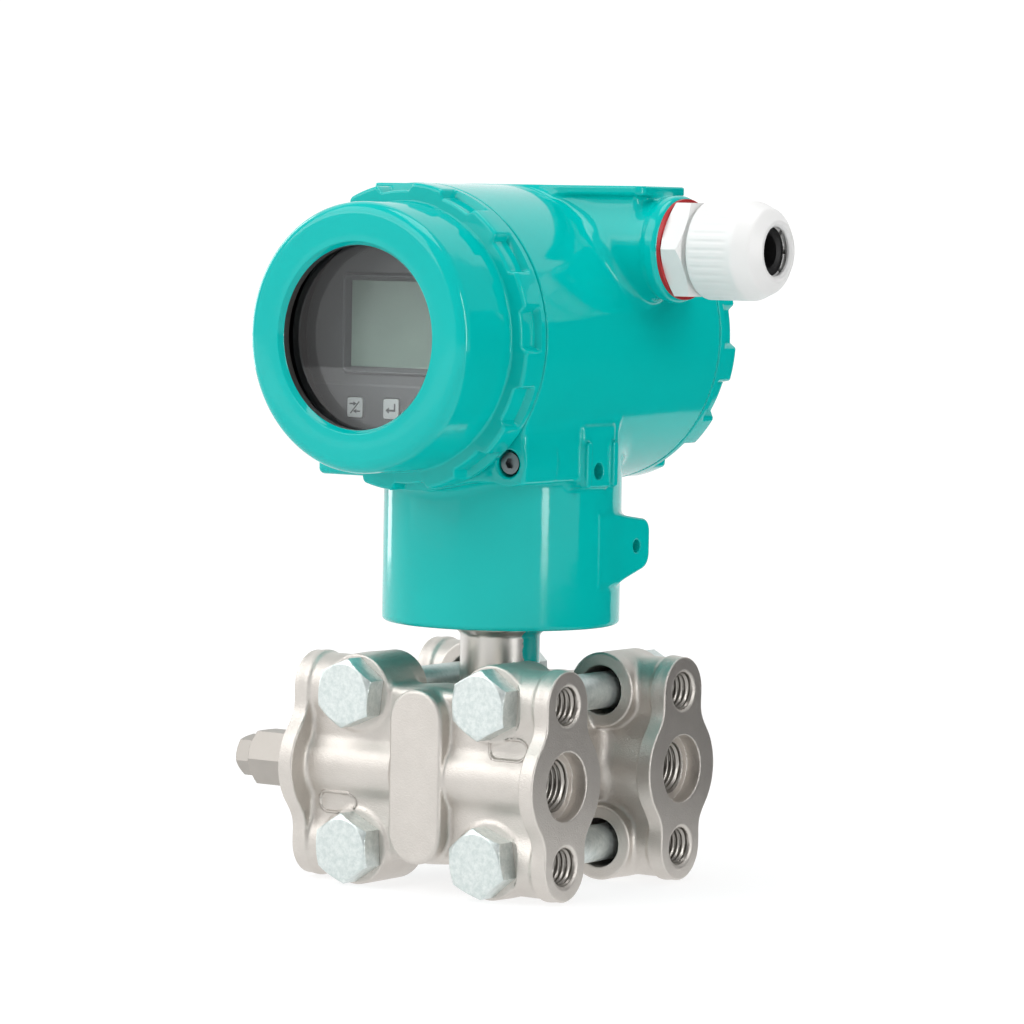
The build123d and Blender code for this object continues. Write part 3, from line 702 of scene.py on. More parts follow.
@dataclass(frozen=True)
class BlastedSteel:
    """Cast stainless steel, bead blasted all over, with machined end faces."""

    face: float
    dark: Triple = srgb(196, 191, 185)
    pale: Triple = srgb(224, 219, 213)
    milled: Triple = srgb(190, 187, 183)
    rough: Pair = (0.50, 0.30)
    depth: float = 0.085
    marks: float = 0.16
    cutter: Pair = (75.0, -30.0)
    lines: float = 3000.0

    def material(self) -> Material:
        """Grainy casting skin, changing to fine milling marks on the two end faces."""
        sheet = Sheet("blasted_stainless")
        end = (sheet.part(Axis.X) + self.face * MM).math("ABSOLUTE")
        end = end.ramp((self.face - 0.12) * MM, (self.face - 0.04) * MM)
        grain = sheet.noise(0.42, 2, rough=0.6)
        skin = sheet.noise(2.6, 3) * 0.8 + grain * 1.3
        cast = sheet.mix(sheet.noise(7, 4) * 0.6 + grain * 0.4, self.dark, self.pale)
        height = skin * (1 - end) + self.sweeps(sheet) * end * self.marks
        return sheet.principled(Base_Color=sheet.mix(end, cast, self.milled), Metallic=1.0,
                                Roughness=between(*self.rough, end) + (grain - 0.5) * 0.16,
                                Normal=sheet.bump(height, self.depth))

    def sweeps(self, sheet: Sheet) -> Wire:
        """Marks of a wide cutter: noise along the distance from a point beside each face."""
        side = sheet.part(Axis.Y).math("ABSOLUTE") - self.cutter[0] * MM
        level = sheet.part(Axis.Z) - self.cutter[1] * MM
        reach = (side * side + level * level).math("SQRT")
        lines = sheet.node("TexNoise", {"W": reach * self.lines, "Scale": 1.0, "Detail": 2.0},
                           noise_dimensions="1D")
        return Wire(sheet, lines.outputs["Fac"]) + sheet.noise(3.0, 2) * 0.4


@dataclass(frozen=True)
class TurnedSteel:
    """Metal from the lathe or the mill, with fine marks across one axis."""

    name: str
    axis: Axis
    tone: Triple = srgb(208, 205, 200)
    rough: float = 0.30
    mark: float = 0.22
    length: float = 40.0
    depth: float = 0.012

    def material(self) -> Material:
        """Metal with tool marks that run round the axis, and a faint stain."""
        sheet = Sheet(self.name)
        stretch = [1.0 if axis is self.axis else self.length for axis in Axis]
        stain = sheet.noise(5, 3)
        return sheet.principled(Base_Color=sheet.mix(stain, darker(self.tone, 0.78), self.tone), Metallic=1.0,
                                Roughness=between(self.rough - 0.06, self.rough + 0.1, stain),
                                Normal=sheet.bump(sheet.noise(self.mark, 3, stretch), self.depth))


@dataclass(frozen=True)
class PaintedStem:
    """Turned steel stem with a run of the housing's paint down one side."""

    stem_x: float
    steel: Triple = srgb(205, 202, 197)
    paint: Triple = srgb(0, 172, 168)
    starts: Pair = (-0.36, -0.31)
    ends: Pair = (1.6, 1.7)
    level: Pair = (23.5, 24.5)

    def material(self) -> Material:
        """Steel changing to paint by the angle round the stem, with a ragged edge."""
        sheet = Sheet("stem_with_paint_run")
        ragged = sheet.noise(2.5, 3) - 0.5
        turn = sheet.part(Axis.Y).math("ARCTAN2", sheet.part(Axis.X) - self.stem_x)
        side = (turn + ragged * 0.5).ramp(*self.starts) * (1 - turn.ramp(*self.ends))
        low, high = self.level
        covered = side * (sheet.part(Axis.Z) + ragged * (6 * MM)).ramp(low * MM, high * MM)
        marks = sheet.noise(0.22, 3, (40, 40, 1))
        return sheet.principled(Base_Color=sheet.mix(covered, self.steel, self.paint), Metallic=1 - covered,
                                Roughness=between(0.30, 0.14, covered),
                                Normal=sheet.bump(marks * (1 - covered) + covered * 3.0, 0.012))


@dataclass(frozen=True)
class ZincPlate:
    """Dull pale zinc on forged bolt heads."""

    pale: Triple = srgb(230, 236, 234)
    dark: Triple = srgb(203, 213, 211)
    patches: Pair = (0.28, 0.74)
    rough: Pair = (0.30, 0.48)
    depth: float = 0.03

    def material(self) -> Material:
        """Mottled plating over a rough forging."""
        sheet = Sheet("dull_zinc")
        mottle = sheet.noise(1.5, 5, rough=0.7)
        height = mottle * 1.2 + sheet.noise(0.5, 3) * 0.6
        return sheet.principled(Base_Color=sheet.mix(mottle.ramp(*self.patches), self.dark, self.pale),
                                Metallic=0.8, Roughness=between(*self.rough, mottle),
                                Normal=sheet.bump(height, self.depth))


@dataclass(frozen=True)
class Moulding:
    """Moulded plastic or rubber with a fine spark-eroded grain."""

    name: str
    colour: Triple
    rough: float = 0.42
    grain: float = 0.6
    depth: float = 0.01
    shade: float = 0.93

    def material(self) -> Material:
        """Even colour with a little drift, and a fine grain."""
        sheet = Sheet(self.name)
        drift = sheet.noise(6, 3)
        return sheet.principled(Base_Color=sheet.mix(drift, darker(self.colour, self.shade), self.colour),
                                Roughness=between(self.rough - 0.05, self.rough + 0.06, drift),
                                Normal=sheet.bump(sheet.noise(self.grain, 2), self.depth))


@dataclass(frozen=True)
class WindowGlass:
    """Clear glass whose shadow stays clear."""

    tint: tuple[float, ...] = (0.94, 0.97, 0.97, 1.0)
    index: float = 1.47
    waves: float = 0.002

    def material(self) -> Material:
        """Glass for what is seen, and a faint tint for the light that passes."""
        sheet = Sheet("window_glass")
        glass = sheet.shader("BsdfPrincipled", Base_Color=self.tint, Roughness=0.0, IOR=self.index,
                             Transmission_Weight=1.0, Normal=sheet.bump(sheet.noise(9, 3), self.waves))
        clear = sheet.shader("BsdfTransparent", Color=self.tint)
        return sheet.blended(sheet.node("LightPath").outputs["Is Shadow Ray"], glass, clear)


@dataclass(frozen=True)
class DisplayPanel:
    """Blank grey-green liquid crystal panel behind a polariser."""

    pale: Triple = srgb(142, 161, 150)
    dark: Triple = srgb(120, 139, 129)
    cells: float = 9000.0

    def material(self) -> Material:
        """Soft sheen over a faint grid of picture cells."""
        sheet = Sheet("display_panel")
        grid = (sheet.part(Axis.X) * self.cells).math("SINE") + (sheet.part(Axis.Z) * self.cells).math("SINE")
        tone = sheet.noise(14, 2) + grid * 0.02
        return sheet.principled(Base_Color=sheet.mix(tone, self.dark, self.pale), Roughness=0.24)


@dataclass
class Finishes:
    """Every material of the transmitter, made once."""

    half_length: float
    shelf: dict[str, Material] = field(default_factory=dict)

    def __post_init__(self) -> None:
        """Makes the materials."""
        recipes = {
            "paint": GlossPaint(),
            "cast": BlastedSteel(self.half_length),
            "turned_x": TurnedSteel("turned_stainless_x", Axis.X),
            "turned_y": TurnedSteel("turned_stainless_y", Axis.Y),
            "stem": PaintedStem(-self.half_length * MM),
            "vent": TurnedSteel("brushed_vent", Axis.X, srgb(190, 185, 179), 0.56),
            "thread": TurnedSteel("cut_thread", Axis.X, srgb(176, 172, 166), 0.34),
            "socket": TurnedSteel("dark_socket_screw", Axis.Y, srgb(120, 124, 126), 0.30),
            "anodised": TurnedSteel("anodised_ring", Axis.Y, srgb(92, 94, 96), 0.42),
            "brass": TurnedSteel("brass_screw", Axis.Y, srgb(206, 172, 102), 0.34),
            "zinc": ZincPlate(),
            "nylon": Moulding("white_nylon", srgb(232, 232, 231), 0.38, 0.8, 0.012, 0.97),
            "washer": Moulding("red_washer", srgb(176, 24, 30), 0.46),
            "rubber": Moulding("black_rubber", srgb(22, 22, 23), 0.55),
            "bezel": Moulding("grey_bezel", srgb(84, 86, 88), 0.34, 0.35, 0.004),
            # dark grey that stands in for the shade inside the front cover behind the window: painted shade
            "bore": Moulding("bare_cover_bore", srgb(58, 55, 54), 0.42, 0.7),
            "key": Moulding("pale_key", srgb(205, 209, 208), 0.45),
            "mark": Moulding("dark_mark", srgb(52, 56, 58), 0.5),
            "board": Moulding("green_board", srgb(18, 92, 46), 0.4),
            "potting": Moulding("black_potting", srgb(26, 27, 29), 0.5),
            "glass": WindowGlass(),
            "panel": DisplayPanel(),
        }
        self.shelf = {name: recipe.material() for name, recipe in recipes.items()}

    def __getitem__(self, name: str) -> Material:
        """A material by its short name."""
        return self.shelf[name]


# Sub-assemblies


@dataclass
class Assembly:
    """Pieces that are made together, and the places that several assemblies share."""

    shop: Workshop
    finish: Finishes
    port: float = 27.0
    tapped: float = 20.65
    tapped_radii: Pair = (4.8, 5.0)
    half_length: float = 40.75
    bolt: Pair = (21.5, 20.3)
    seat: float = 33.9
    axis_z: float = 113.7
    entry: Pair = (8.8, 137.2)
    key_pitch: float = 11.45
    key_height: float = 95.4

    def put(self, name: str, mesh: Mesh, finish: str, body: str, slot: str, *nodes: str) -> None:
        """Puts a mesh into the scene, dresses it and says what it rides on and stands for.

        Args:
            name: Name of the piece.
            mesh: Its mesh.
            finish: Its material, by its name on the shelf.
            body: CAD body that it moves with.
            slot: Material slot of the record; not used.
            *nodes: CAD nodes that it replaces.
        """
        piece = self.shop.link(name, mesh)
        mesh.materials.clear()
        mesh.materials.append(self.finish[finish])
        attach(piece, body)
        if nodes:
            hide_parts(*nodes)
        LOG.info("%s: %d faces", name, len(mesh.polygons))

    def bolt_places(self) -> list[Pair]:
        """Places of the four bolts in x and z."""
        bx, bz = self.bolt
        return [(x, z) for x in (-bx, bx) for z in (-bz, bz)]


@dataclass
class ProcessFlange(Assembly):
    """Cast process flange: lobed end plates, port rib, raised pad and four bolt bosses."""

    plate_start: float = 36.15
    plate_radii: Pair = (15.6, 9.0)
    plate_blend: float = 7.5
    slab_half: Pair = (38.4, 22.4)
    slab_faces: Pair = (20.0, 33.3)
    slab_lobe: float = 9.0
    rib: float = 9.5
    rib_end: float = 38.5
    lobe: float = 8.6
    lobe_start: float = 21.5
    boss: float = 10.0
    boss_start: float = 16.0
    hub: float = 22.0
    hub_faces: Pair = (10.8, 30.0)
    pad_half: Pair = (8.3, 22.7)
    pad_face: float = 37.6
    ovals: Sequence[Pair] = ((26.8, 9.0), (-27.5, -9.2))
    oval_half: Pair = (5.9, 2.7)
    oval_height: float = 0.42
    tunnel: Triple = (6.5, 10.0, 40.0)
    spot: Pair = (9.9, 44.0)
    port_steps: Sequence[Pair] = ((8.9, 4.5), (6.9, 18.5))
    vent_bore: Pair = (6.87, 13.0)
    tap_depth: float = 11.0
    tap_mouth: Triple = (8.0, 3.0, 0.7)
    passage: float = 3.5
    inner: float = 9.0
    recess: Pair = (15.6, 1.2)
    past: float = 2.0

    def end_plates(self) -> Solid:
        """The wavy plate at each end: three blended discs."""
        middle, side = self.plate_radii
        discs = [((self.port, 0), middle)] + [((self.port, z), side) for z in (self.tapped, -self.tapped)]
        outline = lobes(discs, self.plate_blend)
        return plate(Axis.X, outline, self.plate_start, self.half_length, 0.5).mirrored(Axis.X)

    def body(self) -> Solid:
        """Slab, hub, pad, rib, lobes and bosses, all run together as one casting."""
        dips = rounded_rectangle((0, 0), self.slab_half, 2.0)
        corners = lobes([(place, self.slab_lobe) for place in self.bolt_places()], 0.0)
        slab = plate(Axis.Y, lambda u, v: blended_least(dips(u, v), corners(u, v), 5.0), *self.slab_faces, 2.2)
        rib = rod(Axis.X, (self.port, 0), self.rib, -self.rib_end, self.rib_end, 1.0)
        lobe = rod(Axis.X, (self.port, self.tapped), self.lobe, self.lobe_start, self.rib_end, 1.5)
        boss = rod(Axis.Y, self.bolt, self.boss, self.boss_start, self.seat, 0.7)
        hub = rod(Axis.Y, (0, 0), self.hub, *self.hub_faces, 0.6)
        pad = rounded_rectangle((0, 0), self.pad_half, 8.2)
        pad = plate(Axis.Y, pad, self.slab_faces[0], self.pad_face, 1.1)
        solid = slab.join(rib, 1.6).join(hub, 4.0).join(lobe.mirrored(Axis.X, Axis.Z), 2.0)
        return self.with_ovals(solid.join(boss.mirrored(Axis.X, Axis.Z), 1.4)).join(pad, 1.2)

    def with_ovals(self, solid: Solid) -> Solid:
        """The solid with two plain oval rims raised from its outer side.

        The distance is less by the rim's height where the outline's own distance is small, fading over
        a third of a millimetre.

        Args:
            solid: The solid.

        Returns:
            The solid with its ovals.
        """
        right, left = (rounded_rectangle(place, self.oval_half, 2.69) for place in self.ovals)

        def distance(p: Points) -> Array:
            """Distance after the rims are raised."""
            outline = np.abs(np.minimum(right(p[0], p[2]), left(p[0], p[2])))
            rim = 1 - smooth(outline, 0.15, 0.5)
            return solid.distance(p) - self.oval_height * rim * (p[1] > self.port - 1)
        return Solid(distance)

    def tapped_hole(self, radius: float, end: int) -> Solid:
        """Blind hole in the upper lobe of one end, with a countersunk mouth."""
        face, place = end * self.half_length, (self.port, self.tapped)
        wide, deep, funnel = self.tap_mouth
        hole = rod(Axis.X, place, radius, face - end * self.tap_depth, face + end * self.past)
        mouth = rod(Axis.X, place, wide, face - end * deep, face + end * self.past)
        return hole.join(countersink(Axis.X, place, radius, face, funnel, end).within(mouth))

    def bores(self) -> Solid:
        """Everything that the machinist takes away."""
        end, port = self.half_length, (self.port, 0)
        back, front = self.tapped_radii
        spot = rod(Axis.Y, self.bolt, self.spot[0], self.seat, self.spot[1])
        return union(
            union(rod(Axis.Y, self.bolt, *self.tunnel), spot).mirrored(Axis.X, Axis.Z),
            union(self.tapped_hole(front, 1), self.tapped_hole(back, -1)).mirrored(Axis.Z),
            *(rod(Axis.X, port, radius, end - depth, end + self.past) for radius, depth in self.port_steps),
            rod(Axis.X, port, self.vent_bore[0], -end - self.past, -end + self.vent_bore[1]),
            rod(Axis.X, port, self.passage, -end, end),
            rod(Axis.Y, (0, 0), self.passage, self.inner, self.port),
            rod(Axis.Y, (0, 0), self.recess[0], self.inner, self.hub_faces[0] + self.recess[1]))

    def build(self) -> None:
        """Both flanges, the low side and its mirror image."""
        ends = Solid(lambda p: np.abs(p[0]) - self.half_length)
        casting = self.body().join(self.end_plates(), 1.6).within(ends, 0.5).cut(self.bores(), 0.35)
        for node, flip in (("low_flange", False), ("high_flange", True)):
            mesh = self.shop.cast(node + "_casting", casting, "low_flange", 0.42, 0.40, flip)
            self.put(node + "_casting", mesh, "cast", "process_side", "cast_stainless", node)


@dataclass
class Threads(Assembly):
    """Cut threads in the ports and the tapped holes, as thin sleeves in the bores."""

    port_thread: Triple = (6.9, 0.85, 1.41)
    port_ends: Pair = (18.2, 4.6)
    tapped_thread: Pair = (0.75, 1.5)
    tapped_ends: Pair = (10.8, 0.75)

    def sleeve(self, name: str, centre: Pair, start: float, end: float, outer: float, depth: float,
               pitch: float) -> None:
        """One sleeve whose inner wall is a thread.

        The inner radius is the outer less the depth times a rounded saw: half of one less the cosine of
        two pi times the place over the pitch less the angle.

        Args:
            name: Name of the piece.
            centre: Place of the axis in y and z.
            start: Inner end along X.
            end: Outer end along X.
            outer: Radius at the thread's roots.
            depth: Height of the crests.
            pitch: Lead of one turn.
        """
        rows = max(int(abs(end - start) / pitch * 8), 12)
        inner = np.stack([np.linspace(end, start, rows), np.full(rows, outer - 0.05)], axis=1)
        profile = np.vstack([[start, outer + 0.12], [end, outer + 0.12], inner])

        def wave(turn: Array, place: Array, radius: Array) -> Array:
            """Crests on the inner wall that fade at the outer end."""
            saw = 0.5 - 0.5 * np.cos(2 * np.pi * (place / pitch) - turn)
            fade = smooth(abs(end - place), 0.0, pitch * 0.8)
            return np.where(radius < outer, radius - depth * saw ** 0.8 * fade, radius)

        mesh = self.shop.turned(name, Axis.X, centre, profile, 40, wave, 75.0)
        self.put(name, mesh, "thread", "process_side", "machined_stainless")

    def build(self) -> None:
        """Threads of both flanges at both ends."""
        face, (deep, mouth) = self.half_length, self.tapped_ends
        for side, label in ((-1, "high"), (1, "low")):
            y = side * self.port
            self.sleeve(f"port_thread_{label}", (y, 0), face - self.port_ends[0], face - self.port_ends[1],
                        *self.port_thread)
            for end, place, radius in zip((-1, 1), ("back", "front"), self.tapped_radii):
                for z, level in ((-self.tapped, "bottom"), (self.tapped, "top")):
                    self.sleeve(f"tapped_thread_{label}_{place}_{level}", (y, z), end * (face - deep),
                                end * (face - mouth), radius, *self.tapped_thread)


@dataclass
class HexFasteners(Assembly):
    """Flange bolts and nuts, and the vent valves."""

    flats: float = 16.0
    head: float = 6.4
    nut: float = 8.0
    nut_bore: float = 4.87
    shank: float = 4.85
    tip: Triple = (9.9, 10.5, 4.2)
    turns: Sequence[float] = (0.06, -0.12, 0.16, -0.05)
    cone_start: float = 0.96
    cone_slope: float = 1.73
    sharp: float = 32.0
    vent_shank: Corners = ((-28.8, 0, 0), (-28.8, 6.85, 0), (-45.3, 6.85, 0.3), (-45.3, 0, 0))
    vent_hex: Sequence[float] = (-45.25, -57.45, 14.0, np.pi / 2)
    vent_bore: float = 2.55
    needle: Corners = ((-42.2, 0, 0), (-43.2, 2.5, 0.2), (-58.2, 2.5, 0), (-58.2, 0, 0))
    needle_hex: Sequence[float] = (-58.15, -63.15, 9.8, np.pi / 2 + 0.2)

    @property
    def steps(self) -> Array:
        """Places of the rings along a hexagon's sides, from its end face."""
        return np.array([0, 0.04, 0.15, 0.3, 0.5, 0.7, 0.95, 1.6])

    def hex_piece(self, name: str, axis: Axis, centre: Pair, start: float, end: float, flats: float,
                  phase: float, both: bool, bore: float = 0.0) -> Mesh:
        """Hexagonal block whose corners are cut back by a 30 degree cone.

        Args:
            name: Name of the mesh.
            axis: The block's axis.
            centre: Its place on the other two axes.
            start: Place of the seated face.
            end: Place of the bevelled face.
            flats: Size across the flats.
            phase: Angle of a flat.
            both: True bevels the seated face as well.
            bore: Radius of its bore, or zero.

        Returns:
            The mesh.
        """
        rim, way = flats / 2, np.sign(end - start)

        def wave(turn: Array, place: Array, radius: Array) -> Array:
            """Lesser of hexagon and cone, on the widest part only; a side lies at rim over cosine."""
            sides = rim / np.cos((turn - phase + np.pi / 6) % (np.pi / 3) - np.pi / 6)
            slack = np.abs(end - place)
            if both:
                slack = np.minimum(slack, np.abs(place - start))
            cone = rim * self.cone_start + slack * self.cone_slope
            hexed = blended_least(sides, cone, 0.12)
            return np.where(radius > rim - 0.05, np.minimum(hexed, radius * 1.2), radius)

        side = np.concatenate([start + way * self.steps, end - way * self.steps[::-1]])
        rows = [(start, bore), (start, bore + (rim - bore) * 0.6), (start, rim - 0.1)]
        rows += [(place, rim) for place in side]
        rows += [(end, rim - 0.6), (end, rim - 1.4), (end, bore + (rim - bore) * 0.5), (end, bore)]
        return self.shop.turned(name, axis, centre, np.array(rows), 96, wave, self.sharp, phase)

    def build(self) -> None:
        """Four bolts with their nuts, and two vent valves with their screws."""
        heads, shanks, nuts = [], [], []
        seat, (bevel, tail, point) = self.seat, self.tip
        shaft = filleted([(-seat, 0, 0), (-seat, self.shank, 0), (seat + bevel, self.shank, 0.6),
                          (seat + tail, point, 0), (seat + tail, 0, 0)], 4)
        for number, (place, phase) in enumerate(zip(self.bolt_places(), self.turns)):
            heads.append(self.hex_piece(f"head_{number}", Axis.Y, place, -seat, -seat - self.head, self.flats,
                                        phase, False))
            shanks.append(self.shop.turned(f"shank_{number}", Axis.Y, place, shaft, 48))
            nuts.append(self.hex_piece(f"nut_{number}", Axis.Y, place, seat, seat + self.nut, self.flats,
                                       phase, True, self.nut_bore))
        self.put_set("flange_bolt_set", heads + shanks, "zinc", "process_side", "zinc_bolt", "flange_bolts")
        self.put_set("flange_nut_set", nuts, "zinc", "process_side", "zinc_bolt", "flange_nuts")
        for label, side in (("high", -1), ("low", 1)):
            self.vent(label, (side * self.port, 0.0))

    def vent(self, label: str, centre: Pair) -> None:
        """Vent valve on one flange's closed end, and the screw in it."""
        shank = self.shop.turned(f"vent_shank_{label}", Axis.X, centre, filleted(self.vent_shank, 3), 64)
        body = self.hex_piece(f"vent_hex_{label}", Axis.X, centre, *self.vent_hex, True, self.vent_bore)
        self.put_set(f"vent_valve_{label}", [shank, body], "vent", "process_side", "machined_stainless",
                     f"vent_body_{label}")
        head = self.hex_piece(f"vent_head_{label}", Axis.X, centre, *self.needle_hex, True)
        stem = self.shop.turned(f"vent_stem_{label}", Axis.X, centre, filleted(self.needle, 3), 32)
        self.put_set(f"vent_needle_{label}", [head, stem], "vent", f"vent_screw_{label}", "machined_stainless",
                     f"vent_screw_{label}")

    def put_set(self, name: str, meshes: Sequence[Mesh], *rest: str) -> None:
        """Puts several meshes into the scene as one piece; they are then removed."""
        work = bmesh.new()
        for mesh in meshes:
            work.from_mesh(mesh)
            bpy.data.meshes.remove(mesh)
        whole = bpy.data.meshes.new(name)
        work.to_mesh(whole)
        work.free()
        whole.set_sharp_from_angle(angle=np.radians(self.sharp))
        self.put(name, whole, *rest)


@dataclass
class HousingCasting(Assembly):
    """Painted die casting: round body, neck, shoulder, entries, top plate, tab and bosses."""

    front: float = -37.7
    rear: float = 43.3
    radius: float = 39.4
    neck: Triple = (31.4, 38.2, 100.0)
    shoulder: tuple[Triple, Triple] = ((-33.0, -37.7, 77.0), (33.0, 6.0, 101.7))
    arm: Pair = (13.1, 49.4)
    lip: Triple = (13.7, 45.3, 49.5)
    ear: Pair = (27.9, 82.4)
    ear_radius: float = 5.3
    deck_half: Pair = (43.3, 11.0)
    deck_levels: Pair = (150.8, 153.4)
    web_half: Pair = (41.0, 9.7)
    web_levels: Pair = (137.0, 151.5)
    boss: Pair = (-5.2, 83.4)
    boss_half: Pair = (7.2, 8.0)
    boss_faces: Pair = (25.0, 34.0)
    boss_rib: Pair = (6.0, 81.4)
    boss_rib_half: Pair = (1.2, 6.0)
    boss_rib_faces: Pair = (33.0, 35.3)
    tab_faces: Pair = (27.2, 31.2)
    tab_y: Pair = (9.5, 23.7)
    tab_z: Pair = (49.6, 67.6)
    tab_slopes: Pair = (0.289, 0.127)
    chamber: float = 34.0
    divider: Pair = (-8.0, -4.0)
    thread: Pair = (36.0, 11.0)
    entry_bores: Sequence[Triple] = ((9.65, 15.0, 52.0), (11.7, 47.9, 52.0))
    small_holes: Sequence[tuple[Axis, Pair, float, float, float]] = (
        (Axis.Y, (24.0, 113.7), 7.0, -9.0, -3.0), (Axis.Z, (0, 0), 10.6, 30.0, 47.0),
        (Axis.X, (17.5, 59.0), 1.7, 20.0, 40.0), (Axis.X, (-5.2, 79.6), 2.1, 26.0, 40.0),
        (Axis.Y, (27.9, 82.4), 3.5, -40.7, -33.7))

    def outside(self) -> Solid:
        """The casting before machining, with hollow fillets between its parts."""
        body = rod(Axis.Y, (0, self.axis_z), self.radius, self.front, self.rear, 0.5)
        arm = rod(Axis.X, self.entry, self.arm[0], -self.arm[1], self.arm[1], 1.4)
        lip = rod(Axis.X, self.entry, *self.lip, 1.5).mirrored(Axis.X)
        ear = rod(Axis.Y, self.ear, self.ear_radius, self.front, self.front + 14, 0.7)
        solid = body.join(rod(Axis.Z, (0, 0), *self.neck, 1.3), 3.0).join(block(*self.shoulder, 1.6), 1.5)
        solid = solid.join(arm, 4.5).join(lip, 1.6).join(ear, 2.4)
        return solid.join(self.top(), 3.0).join(self.earth_boss(), 1.6).join(self.tab(), 2.2)

    def top(self) -> Solid:
        """Plate on top and the web below it, set back a little."""
        middle = (0, self.entry[0])
        deck = plate(Axis.Z, rounded_rectangle(middle, self.deck_half, 2.6), *self.deck_levels, 0.7)
        web = plate(Axis.Z, rounded_rectangle(middle, self.web_half, 1.6), *self.web_levels)
        return deck.join(web, 1.2)

    def earth_boss(self) -> Solid:
        """Pad with a raised rib down each side."""
        solid = plate(Axis.X, rounded_rectangle(self.boss, self.boss_half, 1.2), *self.boss_faces, 0.7)
        for side in (-1, 1):
            place = (self.boss[0] + side * self.boss_rib[0], self.boss_rib[1])
            outline = rounded_rectangle(place, self.boss_rib_half, 1.15)
            solid = solid.join(plate(Axis.X, outline, *self.boss_rib_faces, 0.5), 0.8)
        return solid

    def tab(self) -> Solid:
        """Tapered lug beside the neck: four straight sides with round corners."""
        def outline(y: Array, z: Array) -> Array:
            """Greatest distance to the end, and to the sloping upper and lower sides."""
            upper = (z - self.tab_z[1]) + np.maximum(y - self.tab_y[0], 0) * self.tab_slopes[1]
            lower = (self.tab_z[0] - z) + np.maximum(y - self.tab_y[0], 0) * self.tab_slopes[0]
            sides = -blended_least(-upper, -lower, 1.0)
            return -blended_least(-sides, -(y - self.tab_y[1]), 3.2)
        return plate(Axis.X, outline, *self.tab_faces, 0.8).within(Solid(lambda p: -p[1]))

    def bores(self) -> Solid:
        """Compartments, thread bores, entries, and the holes of divider, stem, tab, boss and lock."""
        middle, (wide, deep), past = (0, self.axis_z), self.thread, 2
        return union(
            rod(Axis.Y, middle, self.chamber, self.front - past, self.divider[0]),
            rod(Axis.Y, middle, self.chamber, self.divider[1], self.rear + past),
            rod(Axis.Y, middle, wide, self.front - past, self.front + deep),
            rod(Axis.Y, middle, wide, self.rear - deep, self.rear + past),
            union(*(rod(Axis.X, self.entry, *bore) for bore in self.entry_bores)).mirrored(Axis.X),
            *(rod(*hole) for hole in self.small_holes))

    def build(self) -> None:
        """The casting as one painted piece."""
        seams = Solid(along(Axis.Y, self.front, self.rear))
        level = Solid(lambda p: p[2] - self.deck_levels[1])
        solid = self.outside().within(seams, 0.4).within(level, 0.3).cut(self.bores(), 0.5)
        mesh = self.shop.cast("housing_casting", solid, "housing", 0.5, 0.25)
        self.put("housing_casting", mesh, "paint", "housing", "teal_paint", "housing")


